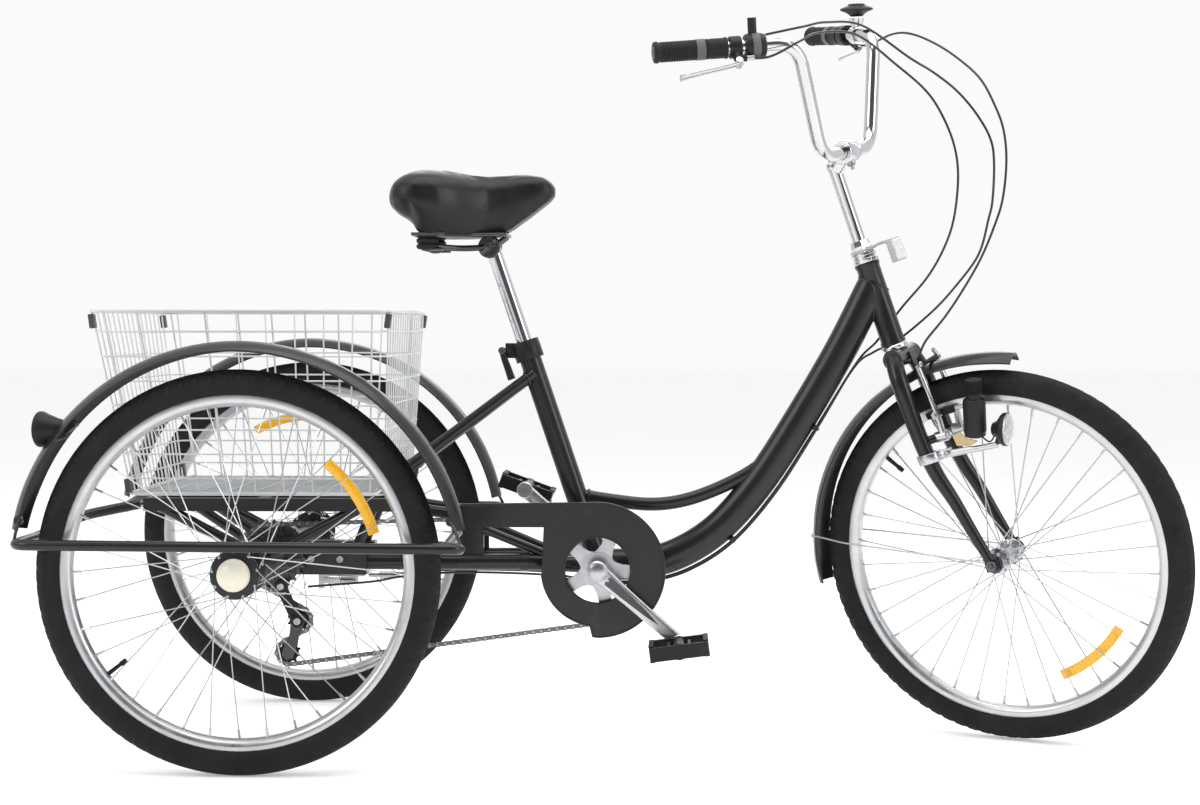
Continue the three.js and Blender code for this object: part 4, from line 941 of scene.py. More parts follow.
for side, sign in SIDES:
    hub_centre = at(0, rear_wheel_y[side], axle.z / MM)
    fender(f"fender_sheet_{side}", f"fender_{side}", "frame", hub_centre, FENDER_RADIUS, 32, 11, 169, X, Z, Y)
    stays = Shape()
    for angle, foot in ((14, at(336, sign * 377, 343)), (166, at(-318, sign * 377, 346))):
        top = arc(hub_centre + Y * sign * 30 * MM, FENDER_RADIUS - 15, angle, angle, 1)[0]
        stays.tube(smooth([top, top.lerp(foot, 0.5) + Z * 2 * MM, foot], 8), 2.4, 12)
        stays.lathe([(0.2, -2), (7, -2), (7, 2), (0.2, 2)], top, Y, 20)
    piece(f"fender_stays_{side}", stays, paint, "frame")

# Tail light: a flared housing on the right fender, with a red lens facing back.
lamp_seat = at(-256, fender_y["right"], 511)
body_profile = [(0.2, -4), (11, -4), (14, 0), (17, 12), (23, 28), (26.4, 35), (26.8, 40), (25.6, 41),
                (24, 38),
                (0.2, 38)]
lamp_turn = math.radians(12)
lamp_axis = Vector((-math.cos(lamp_turn), math.sin(lamp_turn), 0))
lamp = Shape().lathe(body_profile, lamp_seat, lamp_axis, 56)
lamp.box((26, 22, 16), lamp_seat + Vector((4, 0, 4)) * MM, Matrix.Rotation(math.radians(-40), 3, "Y"))
piece("tail_light_housing", lamp, plastic, "frame", ["tail_light"], bevel=0.6)
lens = Shape().lathe([(0.2, 37), (23.6, 37), (23.8, 39.5), (19, 42), (10, 43.4), (0.2, 43.8)], lamp_seat,
                     lamp_axis, 56)
piece("tail_light_lens", lens, red_lens, "frame")

# Band brake: housing plate round the drum, and the arm that pulls the band tight.
band = Shape()
band.lathe([(43, -22), (47, -22), (48, -20), (48, -3), (47, -1), (43, -1), (43, -22)],
           at(0, 0, axle.z / MM), Y, 64)
band.box((32, 10, 12), at(54, -12, 272))
piece("brake_band_shell", band, alloy, "frame", ["brake_band"], bevel=0.8)
pull = joint_place("brake_arm_pull")
puller = Shape()
puller.lathe([(0.2, -5), (6, -5), (6, 5), (0.2, 5)], pull, Y, 28)
puller.rod(pull, pull + Vector((62, 0, -2)) * MM, 3.6, 3.0, 16)
# Its clevis and the threaded barrel hang under the arm.
barrel = pull + Vector((-8, 0, -11)) * MM
puller.box((9, 12, 26), barrel)
puller.box((30, 11, 9), barrel + X * 16 * MM)
puller.rod(barrel + X * 30 * MM, barrel + X * 56 * MM, 5.2, sides=20)
for k in range(7):
    spot = barrel + X * (32 + 3.2 * k) * MM
    puller.rod(spot, spot + X * 1.8 * MM, 6.6, sides=18)
puller.box((6, 9, 18), barrel + Vector((56, 0, 6)) * MM)
piece("brake_puller", puller, alloy, "brake_arm", ["brake_arm"], bevel=0.3)

# ---- Basket ----

tub_low, tub_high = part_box("basket")
BASKET_BOTTOM = {"z": tub_low.z / MM + 2, "length": 197.0, "width": 189.0, "middle": 0.0}
BASKET_TOP = {"z": tub_high.z / MM - 2, "length": 228.0, "width": 242.0, "middle": -16.0}


def tub(z, u, v, inset=0.0):
    """A point of the basket's wall at a height. u and v run from -1 to 1 along and across it."""
    t = (z - BASKET_BOTTOM["z"]) / (BASKET_TOP["z"] - BASKET_BOTTOM["z"])
    size = {key: BASKET_BOTTOM[key] + (BASKET_TOP[key] - BASKET_BOTTOM[key]) * t for key in BASKET_TOP}
    return at(size["middle"] + u * (size["length"] - inset), v * (size["width"] - inset), z)


def hoop(z, inset=0.0):
    """A rounded rectangle of wire round the basket at a height."""
    corner = 22
    line = []
    for cu, cv, start in ((1, 1, 0), (-1, 1, 90), (-1, -1, 180), (1, -1, 270)):
        spot = tub(z, cu, cv, inset) - Vector((cu, cv, 0)) * corner * MM
        line += arc(spot, corner, start, start + 90, 8, X, Y)
    return line


wires = Shape()
top_z, low_z = BASKET_TOP["z"], BASKET_BOTTOM["z"]
wires.tube(hoop(top_z - 1.5), 3.0, 12, loop=True)
wires.tube(hoop(low_z + 2), 2.6, 12, loop=True)
LEVELS = [top_z - 33 - 37.5 * k for k in range(7)]
for z in LEVELS:
    wires.tube(hoop(z), 1.35, 8, loop=True)
side_count, end_count = 9, 16
for sign in (-1, 1):
    for k in range(side_count):
        u = -0.9 + 1.8 * k / (side_count - 1)
        wires.tube([tub(top_z - 1, u, sign, 1.6), tub(low_z + 2, u, sign, 1.6)], 1.35, 8)
    for k in range(end_count):
        v = -0.92 + 1.84 * k / (end_count - 1)
        wires.tube([tub(top_z - 1, sign, v, 1.6), tub(low_z + 2, sign, v, 1.6)], 1.35, 8)
piece("basket_wires", wires, coated, "frame", ["basket"])

floor_wires = Shape()
cells = 15
edge_of_floor = 0.97
for k in range(1, 2 * cells):
    # A diagonal of the floor, u + v or u - v held still, from one edge to the other.
    total = 2 * edge_of_floor * (k / cells - 1)
    start = max(-edge_of_floor, total - edge_of_floor)
    end = min(edge_of_floor, total + edge_of_floor)
    for slant, z in ((1, low_z + 1.2), (-1, low_z + 3.4)):
        ends = [tub(z, u, slant * (total - u)) for u in (start, end)]
        floor_wires.tube(ends, 1.15, 6)
for k in range(9):
    u = -0.9 + 1.8 * k / 8
    floor_wires.tube([tub(low_z + 5, u, -0.985), tub(low_z + 5, u, 0.985)], 1.3, 8)
piece("basket_floor", floor_wires, mesh_grey, "frame")

clips = Shape()
for z, reach in ((top_z - 17, 1.0), (low_z + 14, 1.0)):
    for u in (-1, 1):
        for v in (-1, 1):
            spot = tub(z, u * reach, v * 0.95)
            turn = Matrix.Rotation(math.radians(8 * u), 3, "Y")
            clips.box((9, 15, 22), spot - X * 1.0 * u * MM, turn)
piece("basket_clips", clips, clip_grey, "frame", bevel=1.6)

# ---- Seat ----

seat_up = joint_axis("seat_height")
fit = Shape()
fit.lathe([(17.6, -16), (22.6, -16), (23, -15), (23, 14), (22.4, 15), (17.6, 15), (17.6, -16)],
          seat_line(625), seat_up, 48)
for y in (-7, 7):
    fit.box((18, 6, 24), seat_line(624, y) - X * 26 * MM)
fit.rod(seat_line(624, -17) - X * 30 * MM, seat_line(624, 17) - X * 30 * MM, 4.4, sides=20)
piece("seat_collar", fit, plastic, "frame", ["seat_clamp"], bevel=0.8)

lever_pivot = joint_place("seat_lever_swing")
handle = Shape()
handle.lathe([(0.2, -17), (5.4, -17), (6, -16), (6, -8), (5.4, -7), (0.2, -7)], lever_pivot, Y, 28)
lever_line = smooth([lever_pivot + Vector(p) * MM for p in ((0, -14, 0), (3, -17.5, -10), (9, -19.5, -26),
                                                            (16, -20, -46))], 6)
lever_widths = [4.6 + 1.6 * k / (len(lever_line) - 1) for k in range(len(lever_line))]
handle.tube(lever_line, lever_widths, 20, side=Y, squash=0.62)
piece("seat_lever_blade", handle, plastic, "seat_lever", ["seat_lever"], bevel=0.6)
lever_nut = Shape()
nut(lever_nut, lever_pivot - Y * 17 * MM, -Y, 11, 3)
piece("seat_lever_nut", lever_nut, dark_steel, "seat_lever", bevel=0.3)

post_low, post_high = 461.0, 800.0
post = Shape().rod(seat_line(post_low), seat_line(post_high), 12.5, sides=48)
piece("post_tube", post, chrome, "seat", ["seatpost"], bevel=0.6)

base = Shape()
base.box((150, 96, 5), at(300, 0, 808.6))
base.box((52, 150, 5), at(252, 0, 808.6))
for sign in (-1, 1):
    rail_line = [at(372, sign * 12, 806), at(350, sign * 20, 790), at(300, sign * 26, 788),
                 at(262, sign * 48, 790)]
    base.tube(bent(rail_line, 12, 5), 4, 16)
piece("saddle_frame", base, dark_steel, "seat", ["saddle_base"], bevel=0.8)
cushions = Shape()
low, high, bulges = 785.0, 812.0, 3
for sign in (-1, 1):
    profile = [(0.2, low)]
    for k in range(bulges * 8 + 1):
        t = k / (bulges * 8)
        profile.append((14.5 + 3.2 * abs(math.sin(math.pi * bulges * t)) ** 0.7, low + (high - low) * t))
    profile.append((0.2, high))
    cushions.lathe(profile, at(250, sign * 56, 0), Z, 36)
piece("saddle_cushions", cushions, grip_rubber, "seat")
cushion_caps = Shape()
for sign in (-1, 1):
    bolt(cushion_caps, at(250, sign * 56, low), -Z, 8, 3)
    cushion_caps.box((34, 20, 3), at(258, sign * 56, low - 0.5))
piece("saddle_cushion_caps", cushion_caps, dark_steel, "seat", bevel=0.6)
yoke = Shape()
yoke_centre = seat_line(790) - X * 4 * MM
yoke.lathe([(0.2, -22), (16, -22), (18, -20), (18, -12), (15, -10), (15, 10), (18, 12), (18, 20), (16, 22),
            (0.2, 22)],
           yoke_centre, Y, 36)
yoke.rod(yoke_centre - Y * 34 * MM, yoke_centre + Y * 34 * MM, 4, sides=16)
piece("saddle_yoke", yoke, dark_steel, "seat", bevel=0.5)
yoke_nuts = Shape()
for sign in (-1, 1):
    nut(yoke_nuts, yoke_centre + Y * sign * 26 * MM, Y * sign, 13, 6)
piece("saddle_yoke_nuts", yoke_nuts, dark_steel, "seat", bevel=0.3)

# Saddle: a wide padded back narrowing to a nose, from sections along its length.
# Each row: x, half width, height of the middle, of the edge's crease and of the skirt's lower rim.
SADDLE_ROWS = [
    (188, 52, 869, 863, 858), (191, 78, 882, 864, 853), (199, 98, 895, 864, 847), (213, 109, 904, 864, 839),
    (226, 112, 908, 863, 833), (234, 113, 910, 862, 812), (250, 112, 910, 861, 806),
    (272, 106, 908, 859, 805),
    (296, 90, 904, 857, 805), (320, 69, 900, 855, 805), (345, 50, 898, 856, 806), (372, 42, 899, 860, 812),
    (390, 40, 901, 864, 824), (412, 38, 904, 869, 840), (432, 34, 902, 875, 854), (445, 26, 894, 876, 864),
    (451, 15, 886, 876, 869),
]


def saddle_section(x, half, top, crease, rim):
    """One cross section, from the lower rim on one side over the crown to the other."""
    under = rim + 4
    upper = []
    for k in range(13):
        t = math.pi * k / 12
        bulge = abs(math.cos(t)) ** 0.62 * math.copysign(1, math.cos(t))
        dip = 5 * math.exp(-((bulge / 0.16) ** 2)) if 215 < x < 340 else 0.0
        upper.append((half * bulge, crease + (top - crease) * math.sin(t) ** 0.55 - dip))
    # Below its widest line the skirt draws in towards the base.
    fall = min(1.0, (crease - rim) / 40)
    side = [(0.975, 0.25), (0.92 - 0.06 * fall, 0.55), (0.86 - 0.14 * fall, 0.85), (0.80 - 0.16 * fall, 1.0)]
    lower = [(-half * share, crease + (rim - crease) * t) for share, t in side]
    lower += [(0, under), *[(-y, z) for y, z in reversed(lower)]]
    return [at(x, y, z) for y, z in [*upper, *lower]]


def stuffed(obj, thickness, push):
    """Swells a closed skin with a cloth simulation, and keeps the result, held within `limit` of the skin."""
    remesh = obj.modifiers.new("even", "REMESH")
    remesh.mode = "VOXEL"
    remesh.voxel_size = thickness
    smoother = obj.modifiers.new("relax", "SMOOTH")
    smoother.iterations = 6
    bpy.context.view_layer.update()
    graph = bpy.context.evaluated_depsgraph_get()
    even = bpy.data.meshes.new_from_object(obj.evaluated_get(graph))
    obj.modifiers.clear()
    obj.data = even
    rest = [v.co.copy() for v in even.vertices]
    cloth = obj.modifiers.new("stuffing", "CLOTH")
    cloth.settings.quality = 6
    cloth.settings.mass = 0.35
    cloth.settings.tension_stiffness = 18
    cloth.settings.compression_stiffness = 18
    cloth.settings.shear_stiffness = 12
    cloth.settings.bending_stiffness = 4
    cloth.settings.use_pressure = True
    cloth.settings.uniform_pressure_force = push
    cloth.settings.effector_weights.gravity = 0
    cloth.point_cache.frame_start = 1
    frames = 20
    cloth.point_cache.frame_end = frames
    scene = bpy.context.scene
    for step in range(1, frames + 1):
        scene.frame_set(step)
    graph = bpy.context.evaluated_depsgraph_get()
    swollen = bpy.data.meshes.new_from_object(obj.evaluated_get(graph))
    obj.modifiers.clear()
    limit = 5 * MM
    for v, start in zip(swollen.vertices, rest):
        move = v.co - start
        if move.length > limit:
            v.co = start + move.normalized() * limit
    obj.data = swollen
    scene.frame_set(1)
    for polygon in obj.data.polygons:
        polygon.use_smooth = True


saddle_rings = [saddle_section(*row) for row in SADDLE_ROWS]
saddle = piece("saddle", Shape().skin(saddle_rings), vinyl, None, sharp=180)
stuffed(saddle, 0.005, 4.0)
saddle.data.materials.clear()
saddle.data.materials.append(vinyl)
finish_round = saddle.modifiers.new("smooth", "SUBSURF")
finish_round.levels = finish_round.render_levels = 1
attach(saddle, "seat")
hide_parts("saddle_pad")

# ---- Fork and headset ----

for side, sign in SIDES:
    leg = [(36, 7, -302, 14), (47, 9.5, -325, 14), (52.5, 11.5, -352, 14), (55, 15, -435, 13),
           (56, 22, -490, 12),
           (56, 36, -540, 10.5), (56, 50, -600, 9.2), (56, 62, -648, 8)]
    line = smooth([on(sign * a, f, h) for a, f, h, r in leg], 6)
    radii = []
    for (_, _, _, r), (_, _, _, r2) in zip(leg, leg[1:]):
        radii += [r + (r2 - r) * k / 6 for k in range(6)]
    radii.append(leg[-1][3])
    blade = Shape().tube(line, radii, 24)
    blade.box((7, 22, 27), on(sign * 56, 63, -651), Matrix((wheel_across, head_ahead, head_up)).transposed())
    piece(f"fork_blade_{side}", blade, paint, "steering", ["fork"] if sign < 0 else [],
          bevel=0.6)
crown = Shape().rod(on(-42, 7, -303), on(42, 7, -303), 15.4, sides=36, flare=1.2)
crown.lathe([(13, -316), (18.5, -314), (19.5, -300), (19.5, -289), (18.5, -287), (13, -287), (13, -316)],
            head, head_up, 40)
crown.rod(on(0, 0, -300), on(0, 0, -122), 12.7, sides=36)
for sign in (-1, 1):
    crown.rod(on(sign * 55, 15, -440), on(sign * 40, 36, -440), 7, sides=20)
piece("fork_crown", crown, paint, "steering", bevel=0.8)
axle_parts = Shape().rod(on(-70, 65, -654.6), on(70, 65, -654.6), 4.8, sides=20)
for sign in (-1, 1):
    axle_parts.lathe([(5, 51), (15, 51), (15, 54), (5, 54), (5, 51)] if sign > 0 else
                     [(5, -54), (15, -54), (15, -51), (5, -51), (5, -54)], on(0, 65, -654.6), wheel_across,
                     32)
    nut(axle_parts, on(sign * 60, 65, -654.6), wheel_across * sign, 15, 8)
piece("front_axle_nuts", axle_parts, dark_steel, "steering", bevel=0.3)

cups = Shape()
cups.lathe([(14, -289), (22, -289), (22.6, -287.6), (22.6, -283), (21, -281), (14, -281), (14, -289)], head,
           head_up, 48)
piece("headset_lower", cups, chrome, "frame", bevel=0.3)
top_cup = Shape()
top_cup.lathe([(14, -142.6), (20.6, -142.6), (21, -141.6), (21, -137), (19.4, -135.6), (19.4, -131),
               (20, -130.4),
               (20, -127), (18.6, -126), (14, -126), (14, -142.6)], head, head_up, 48)
top_cup.lathe([(13, -126), (17.4, -126), (17.4, -117), (16.2, -116), (15.2, -110), (14.6, -106), (13, -106),
               (13, -126)], head, head_up, 8)
piece("headset_top", top_cup, chrome, "steering", ["headset_nut"], bevel=0.4)

quill = Shape()
quill.lathe([(0.2, -112), (11, -112), (11, 8), (12, 14), (12.4, 20), (11, 26), (0.2, 28)], head, head_up, 40)
quill.rod(on(0, 2, 12), on(0, 28, 34), 12, 15, 32)
clamp_line = on(0, 28, 34)
quill.lathe([(11.4, -21), (17, -21), (18, -19.6), (18, 19.6), (17, 21), (11.4, 21), (11.4, -21)], clamp_line,
            wheel_across, 40)
piece("stem_quill", quill, chrome, "steering", ["stem"], bevel=0.4)
stem_bolts = Shape()
bolt(stem_bolts, on(0, 0, 27), head_up, 6.5, 4)
stem_bolts.rod(on(0, 30, 13), on(0, 30, 20), 7, sides=20)
nut(stem_bolts, on(0, 30, 15), -head_up, 11, 5)
piece("stem_bolts", stem_bolts, steel, "steering", bevel=0.3)

# ---- Handlebar and its controls ----

BAR_CORNERS = [(98, 28, 34), (152, 75, 206)]
BAR_TIP = (290, -87, 257)
bar_line = bent([on(-BAR_TIP[0], BAR_TIP[1], BAR_TIP[2]),
                 *[on(-a, f, h) for a, f, h in reversed(BAR_CORNERS)],
                 *[on(a, f, h) for a, f, h in BAR_CORNERS], on(*BAR_TIP)], 38, 12)
piece("bar_tube", Shape().tube(bar_line, 11, 36), chrome, "steering", ["handlebar"], bevel=0.3)
corner = {side: on(sign * 152, 75, 206) for side, sign in SIDES}
tip = {side: on(sign * 290, -87, 257) for side, sign in SIDES}
inward = {side: (corner[side] - tip[side]).normalized() for side, _ in SIDES}

for side, sign in SIDES:
    start, way = tip[side], inward[side]
    profile = [(0.2, -5), (13, -5), (15.6, -4), (16.4, -2), (16.4, 1), (15, 3)]
    for k in range(19):
        t = 6 + k * 3.9
        profile += [(14.6, t), (15.5, t + 0.8), (15.5, t + 2.4), (14.6, t + 3.2)]
    profile += [(15.4, 84), (15.4, 104), (16.4, 105.5), (16.4, 108), (0.2, 108)]
    grip = Shape().lathe(profile, start, way, 40)
    piece(f"grip_sleeve_{side}", grip, grip_rubber, "steering", [f"grip_{side}"])
    ring = [(15.2, 0), (16.0, 0.6), (16.0, 13.4), (15.2, 14), (14, 14), (14, 0), (15.2, 0)]
    piece(f"grip_band_{side}", Shape().lathe([(r, t + 60) for r, t in ring], start, way, 40), grip_grey,
          "steering")
    plug = [(0.2, -6.4), (8, -6.2), (10.5, -5.4), (10.5, -4.6), (0.2, -4.6)]
    piece(f"grip_plug_{side}", Shape().lathe(plug, start, way, 36), grip_grey, "steering")

for side, sign in SIDES:
    start, way = tip[side], inward[side]
    seat_spot = start + way * 121 * MM
    pivot = joint_place(f"brake_lever_{side}_squeeze")
    spread_way = pivot - seat_spot
    spread_way = (spread_way - way * spread_way.dot(way)).normalized()
    mount = Shape()
    mount.lathe([(11.3, -9), (16, -9), (17, -8), (17, 8), (16, 9), (11.3, 9), (11.3, -9)], seat_spot, way, 40)
    mount.rod(seat_spot + spread_way * 14 * MM, pivot - spread_way * 6 * MM, 7.2, 6.4, 24)
    hinge = spread_way.cross(way).normalized()
    mount.rod(seat_spot + spread_way * 22 * MM + way * 2 * MM,
              seat_spot + spread_way * 23.4 * MM + way * 14 * MM, 5.6)
    piece(f"lever_mount_{side}", mount, plastic, "steering", [f"lever_bracket_{side}"],
          bevel=0.7)
    screw = Shape()
    screw.rod(seat_spot + spread_way * 23.4 * MM + way * 13 * MM,
              seat_spot + spread_way * 23.4 * MM + way * 25 * MM, 4.2)
    piece(f"lever_adjuster_{side}", screw, alloy, "steering", bevel=0.4)
    place = lambda out, away: pivot - way * out * MM + spread_way * away * MM
    blade_line = smooth([place(-6, 0), place(6, 4), place(32, 10), (place(62, 16)), place(94, 23)], 8)
    widths = []
    count = len(blade_line)
    for k in range(count):
        t = k / (count - 1)
        widths.append(6.2 - 1.0 * math.sin(math.pi * min(1, t * 1.1)) + (1.0 if t > 0.92 else 0))
    blade = Shape().tube(blade_line, widths, 20, side=spread_way, squash=0.5)
    blade.rod(pivot - hinge * 8 * MM, pivot + hinge * 8 * MM, 5.4, sides=24)
    piece(f"lever_blade_{side}", blade, alloy, "brake_lever_" + side, [f"brake_lever_{side}"],
          bevel=0.4)

# Shifter pod on the right bar, with its thumb lever.
way = inward["right"]
pod_spot = tip["right"] + way * 152 * MM
pod = Shape()
pod.lathe([(11.3, -16), (17, -16), (19, -13), (19.4, -4), (19, 9), (17.6, 15), (15, 16), (11.3, 16),
           (11.3, -16)],
          pod_spot, way, 48)
piece("shifter_housing", pod, plastic, "steering", ["shifter_pod"], bevel=0.6)
thumb_low, thumb_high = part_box("shift_lever")
thumb_middle = (thumb_low + thumb_high) / 2
shift_centre = joint_place("shift_lever_turn")
shift_axis = joint_axis("shift_lever_turn")
toward = (thumb_middle - shift_centre)
toward = (toward - shift_axis * toward.dot(shift_axis)).normalized()
thumb = Shape()
thumb.tube(smooth([thumb_middle + toward * d * MM for d in (-13, -4, 5, 12)], 5), [4.6] * 16, 18,
           side=shift_axis,
           squash=1.5)
piece("shift_thumb", thumb, plastic, "shift_lever", ["shift_lever"], bevel=0.6)
window = Shape()
window.lathe([(19.3, -6), (19.9, -5), (19.9, 5), (19.3, 6), (18.6, 6), (18.6, -6), (19.3, -6)], pod_spot,
             way, 48)
piece("shifter_band", window, grip_grey, "steering")

# Bell: a clamp on the left bar with a turned dome that twists on it.
way = inward["left"]
bell_spot = tip["left"] + way * 160 * MM
bell_up = joint_axis("bell_twist")
bell_up = bell_up if bell_up.z > 0 else -bell_up
foot = Shape()
foot.lathe([(11.3, -8), (14, -8), (15, -7), (15, 7), (14, 8), (11.3, 8), (11.3, -8)], bell_spot, way, 36)
foot.rod(bell_spot + bell_up * 13 * MM, bell_spot + bell_up * 29 * MM, 8.5, 13, 28)
piece("bell_foot", foot, chrome, "steering", ["bell_base"], bevel=0.5)
dome_seat = bell_spot + bell_up * 30.6 * MM
dome = Shape().lathe([(0.2, 0), (9.5, 0), (11, 1), (14, 4.4), (20, 7.6), (26.2, 9.8), (27.2, 11),
                      (27.2, 13), (26, 14),
                      (20, 16.2), (14.5, 18.4), (13.6, 20.6), (8, 21.8), (0.2, 22.2)], dome_seat, bell_up, 64)
piece("bell_shell", dome, plastic, "bell", ["bell_dome"], bevel=0.3)

# Front reflector: a wire from the headset holds a white lens over the head tube.
glass_turn = Matrix((wheel_across, head_ahead, head_up)).transposed()
holder = Shape()
holder.lathe([(13, -125), (19.6, -125), (20, -124.4), (20, -121.6), (19.6, -121), (13, -121), (13, -125)],
             head,
             head_up, 40)
holder.tube(bent([on(0, 17, -123), on(0, 34, -120), on(0, 54, -124)], 8), 2.6, 14)
holder.box((42, 8, 38), on(0, 55, -138), glass_turn)
piece("reflector_holder", holder, mesh_grey, "steering", ["front_reflector"], bevel=1.6)
lens = Shape().box((37, 5, 33), on(0, 60.5, -138), glass_turn)
piece("reflector_lens", lens, white_lens, "steering", bevel=1.4)

# ---- Front fender ----

fender_middle = on(0, 65, -654.6)
forward = head_ahead
fender("fender_sheet_front", "fender_front", "steering", fender_middle, 329, 28, 68, 174, forward, head_up,
       wheel_across)
stays = Shape()
for sign in (-1, 1):
    top = fender_middle + (forward * math.cos(math.radians(159))
                           + head_up * math.sin(math.radians(159))) * 318 * MM
    top += wheel_across * sign * 27 * MM
    foot = on(sign * 61, 55, -648)
    stays.tube(bent([top, top.lerp(foot, 0.2) + wheel_across * sign * 14 * MM, foot], 14), 1.5, 12)
    stays.lathe([(0.2, -1.5), (5, -1.5), (5, 1.5), (0.2, 1.5)], top, wheel_across, 20)
piece("front_fender_stays", stays, steel, "steering")
tab = Shape().box((18, 3, 40), on(0, 24, -318), glass_turn)
piece("front_fender_tab", tab, paint, "steering", bevel=0.6)

# ---- Rim brake ----

for side, sign in SIDES:
    foot, high = on(sign * 38, 46.5, -440), on(sign * 39.5, 44, -322)
    arm = Shape()
    arm.tube(smooth([foot, on(sign * 41, 49, -408), on(sign * 42, 48, -366), high], 6),
             [7.4 - 2.0 * k / 18 for k in range(19)], 22, side=head_ahead, squash=0.74)
    arm.rod(on(sign * 38, 34.5, -440), on(sign * 38, 54, -440), 9, sides=28)
    arm.rod(on(sign * 45, 48, -405), on(sign * 29, 48, -405), 6, sides=22)
    piece(f"caliper_{side}", arm, alloy, f"rim_brake_{side}", [f"rim_brake_arm_{side}"], bevel=0.6)
    shoe = Shape()
    for k in range(4):
        shoe.box((8.6, 12.6, 10.4), on(sign * 22, 48, -405) + head_ahead * (k - 1.5) * 11.6 * MM,
                 glass_turn)
    shoe.box((3.5, 44, 10.6), on(sign * 26, 48, -405), glass_turn)
    piece(f"brake_shoe_{side}", shoe, grip_rubber, f"rim_brake_{side}", bevel=0.7)
    fixings = Shape()
    nut(fixings, on(sign * 38, 54, -440), head_ahead, 11, 4)
    nut(fixings, on(sign * 45, 48, -405), wheel_across * sign, 11, 4)
    bolt(fixings, high + head_ahead * 5 * MM, head_ahead, 5, 3)
    piece(f"brake_fixings_{side}", fixings, steel, f"rim_brake_{side}", bevel=0.2)

# The noodle turns the cable down to the left arm. A boot covers the bare wire between the arms.
noodle = Shape().tube(smooth([on(30, 48, -308), on(37, 48, -316), on(40, 47, -326)], 8), 3.6, 16)
piece("brake_noodle", noodle, alloy, "steering", bevel=0.3)
boot = Shape()
boot_points = [on(26, 50, -322).lerp(on(-22, 50, -322), k / 24) for k in range(25)]
boot.tube(boot_points, [4.6 - 2.2 * k / 24 + 0.7 * (k % 2) for k in range(25)], 18)
piece("brake_boot", boot, grip_rubber, "steering")

# ---- Dynamo and headlamp ----

clamp = Shape()
clamp.lathe([(13.6, -474), (19, -474), (19.6, -473), (19.6, -459), (19, -458), (13.6, -458), (13.6, -474)],
            on(-56, 21, 0), head_up, 40)
clamp.rod(on(-56, 34, -466), on(-44, 131, -476), 6, 4.8, 20)
clamp.box((9, 26, 14), on(-54, 46, -466), glass_turn)
piece("lamp_clamp", clamp, alloy, "steering", ["lamp_bracket"], bevel=1.0)
clamp_bolt = Shape()
for ahead in (38, 52):
    bolt(clamp_bolt, on(-60.5, ahead, -466), -wheel_across, 4.6, 3)
piece("lamp_clamp_bolts", clamp_bolt, steel, "steering", bevel=0.2)

low_end, shoulder, roller_end = on(-44, 100, -454), on(-48.4, 119, -398), on(-50, 129, -368)
dynamo_up = (roller_end - low_end).normalized()
body_length = (shoulder - low_end).length / MM
bottle = Shape().lathe(
    [(0.2, 0), (14, 0), (16.5, 2), (17, 8), (17.8, 9), (17.8, body_length - 4), (17, body_length),
     (14.5, body_length + 2), (12, body_length + 2.6), (12, body_length + 10), (0.2, body_length + 10)],
    low_end, dynamo_up, 44)
piece("dynamo_bottle", bottle, plastic, "dynamo", ["dynamo"], bevel=0.3)
wheel_top = Shape()
for k in range(13):
    wheel_top.lathe([(0.2, 0), (12, 0), (13, 0.5), (13, 1.2), (12, 1.7), (0.2, 1.7)],
                    low_end + dynamo_up * (body_length + 9.5 + 1.75 * k) * MM, dynamo_up, 30)
piece("dynamo_roller", wheel_top, grip_rubber, "dynamo")
plate = Shape()
plate.slab([(-24, -10), (-4, -16), (10, -13), (10, -10), (-4, -4), (-12, 10), (-26, 8)], (-1.5, 1.5),
           on(-49, 92, -450), head_ahead, head_up)
piece("dynamo_plate", plate, tan_zinc, "steering", bevel=0.4)

# The lamp looks along the steering's forward direction, level with the ground when the bars are straight.
lamp_ahead = (head_ahead * math.cos(head_lean) - head_up * math.sin(head_lean)).normalized()
lamp_middle = on(-44, 146, -455)
shell = Shape().lathe([(0.2, -16), (8, -16), (10.5, -14.6), (13, -9), (17, -5), (23, -1), (25.6, 2),
                       (26.2, 4.5),
                       (26.2, 8.4), (24.6, 9), (24.4, 6), (0.2, 6)], lamp_middle, lamp_ahead, 56)
shell.rod(on(-44, 131, -474), lamp_middle - lamp_ahead * 6 * MM - head_up * 8 * MM, 4.4, 5, 16)
piece("lamp_shell", shell, plastic, "steering", ["head_lamp"], bevel=0.4)
front_lens = Shape().lathe([(0.2, 6.4), (24.2, 6.4), (25.2, 8.6), (24, 10.4), (18, 12.6), (8, 14.0),
                            (0.2, 14.3)],
                           lamp_middle, lamp_ahead, 56)
piece("lamp_lens", front_lens, lamp_glass, "steering")
flex_line = [on(-46, 108, -452), on(-42, 118, -468), on(-40, 128, -462), lamp_middle - lamp_ahead * 15 * MM]
piece("lamp_wire", Shape().tube(smooth(flex_line, 8), 1.3, 10), housing, "steering")

# ---- Cables ----

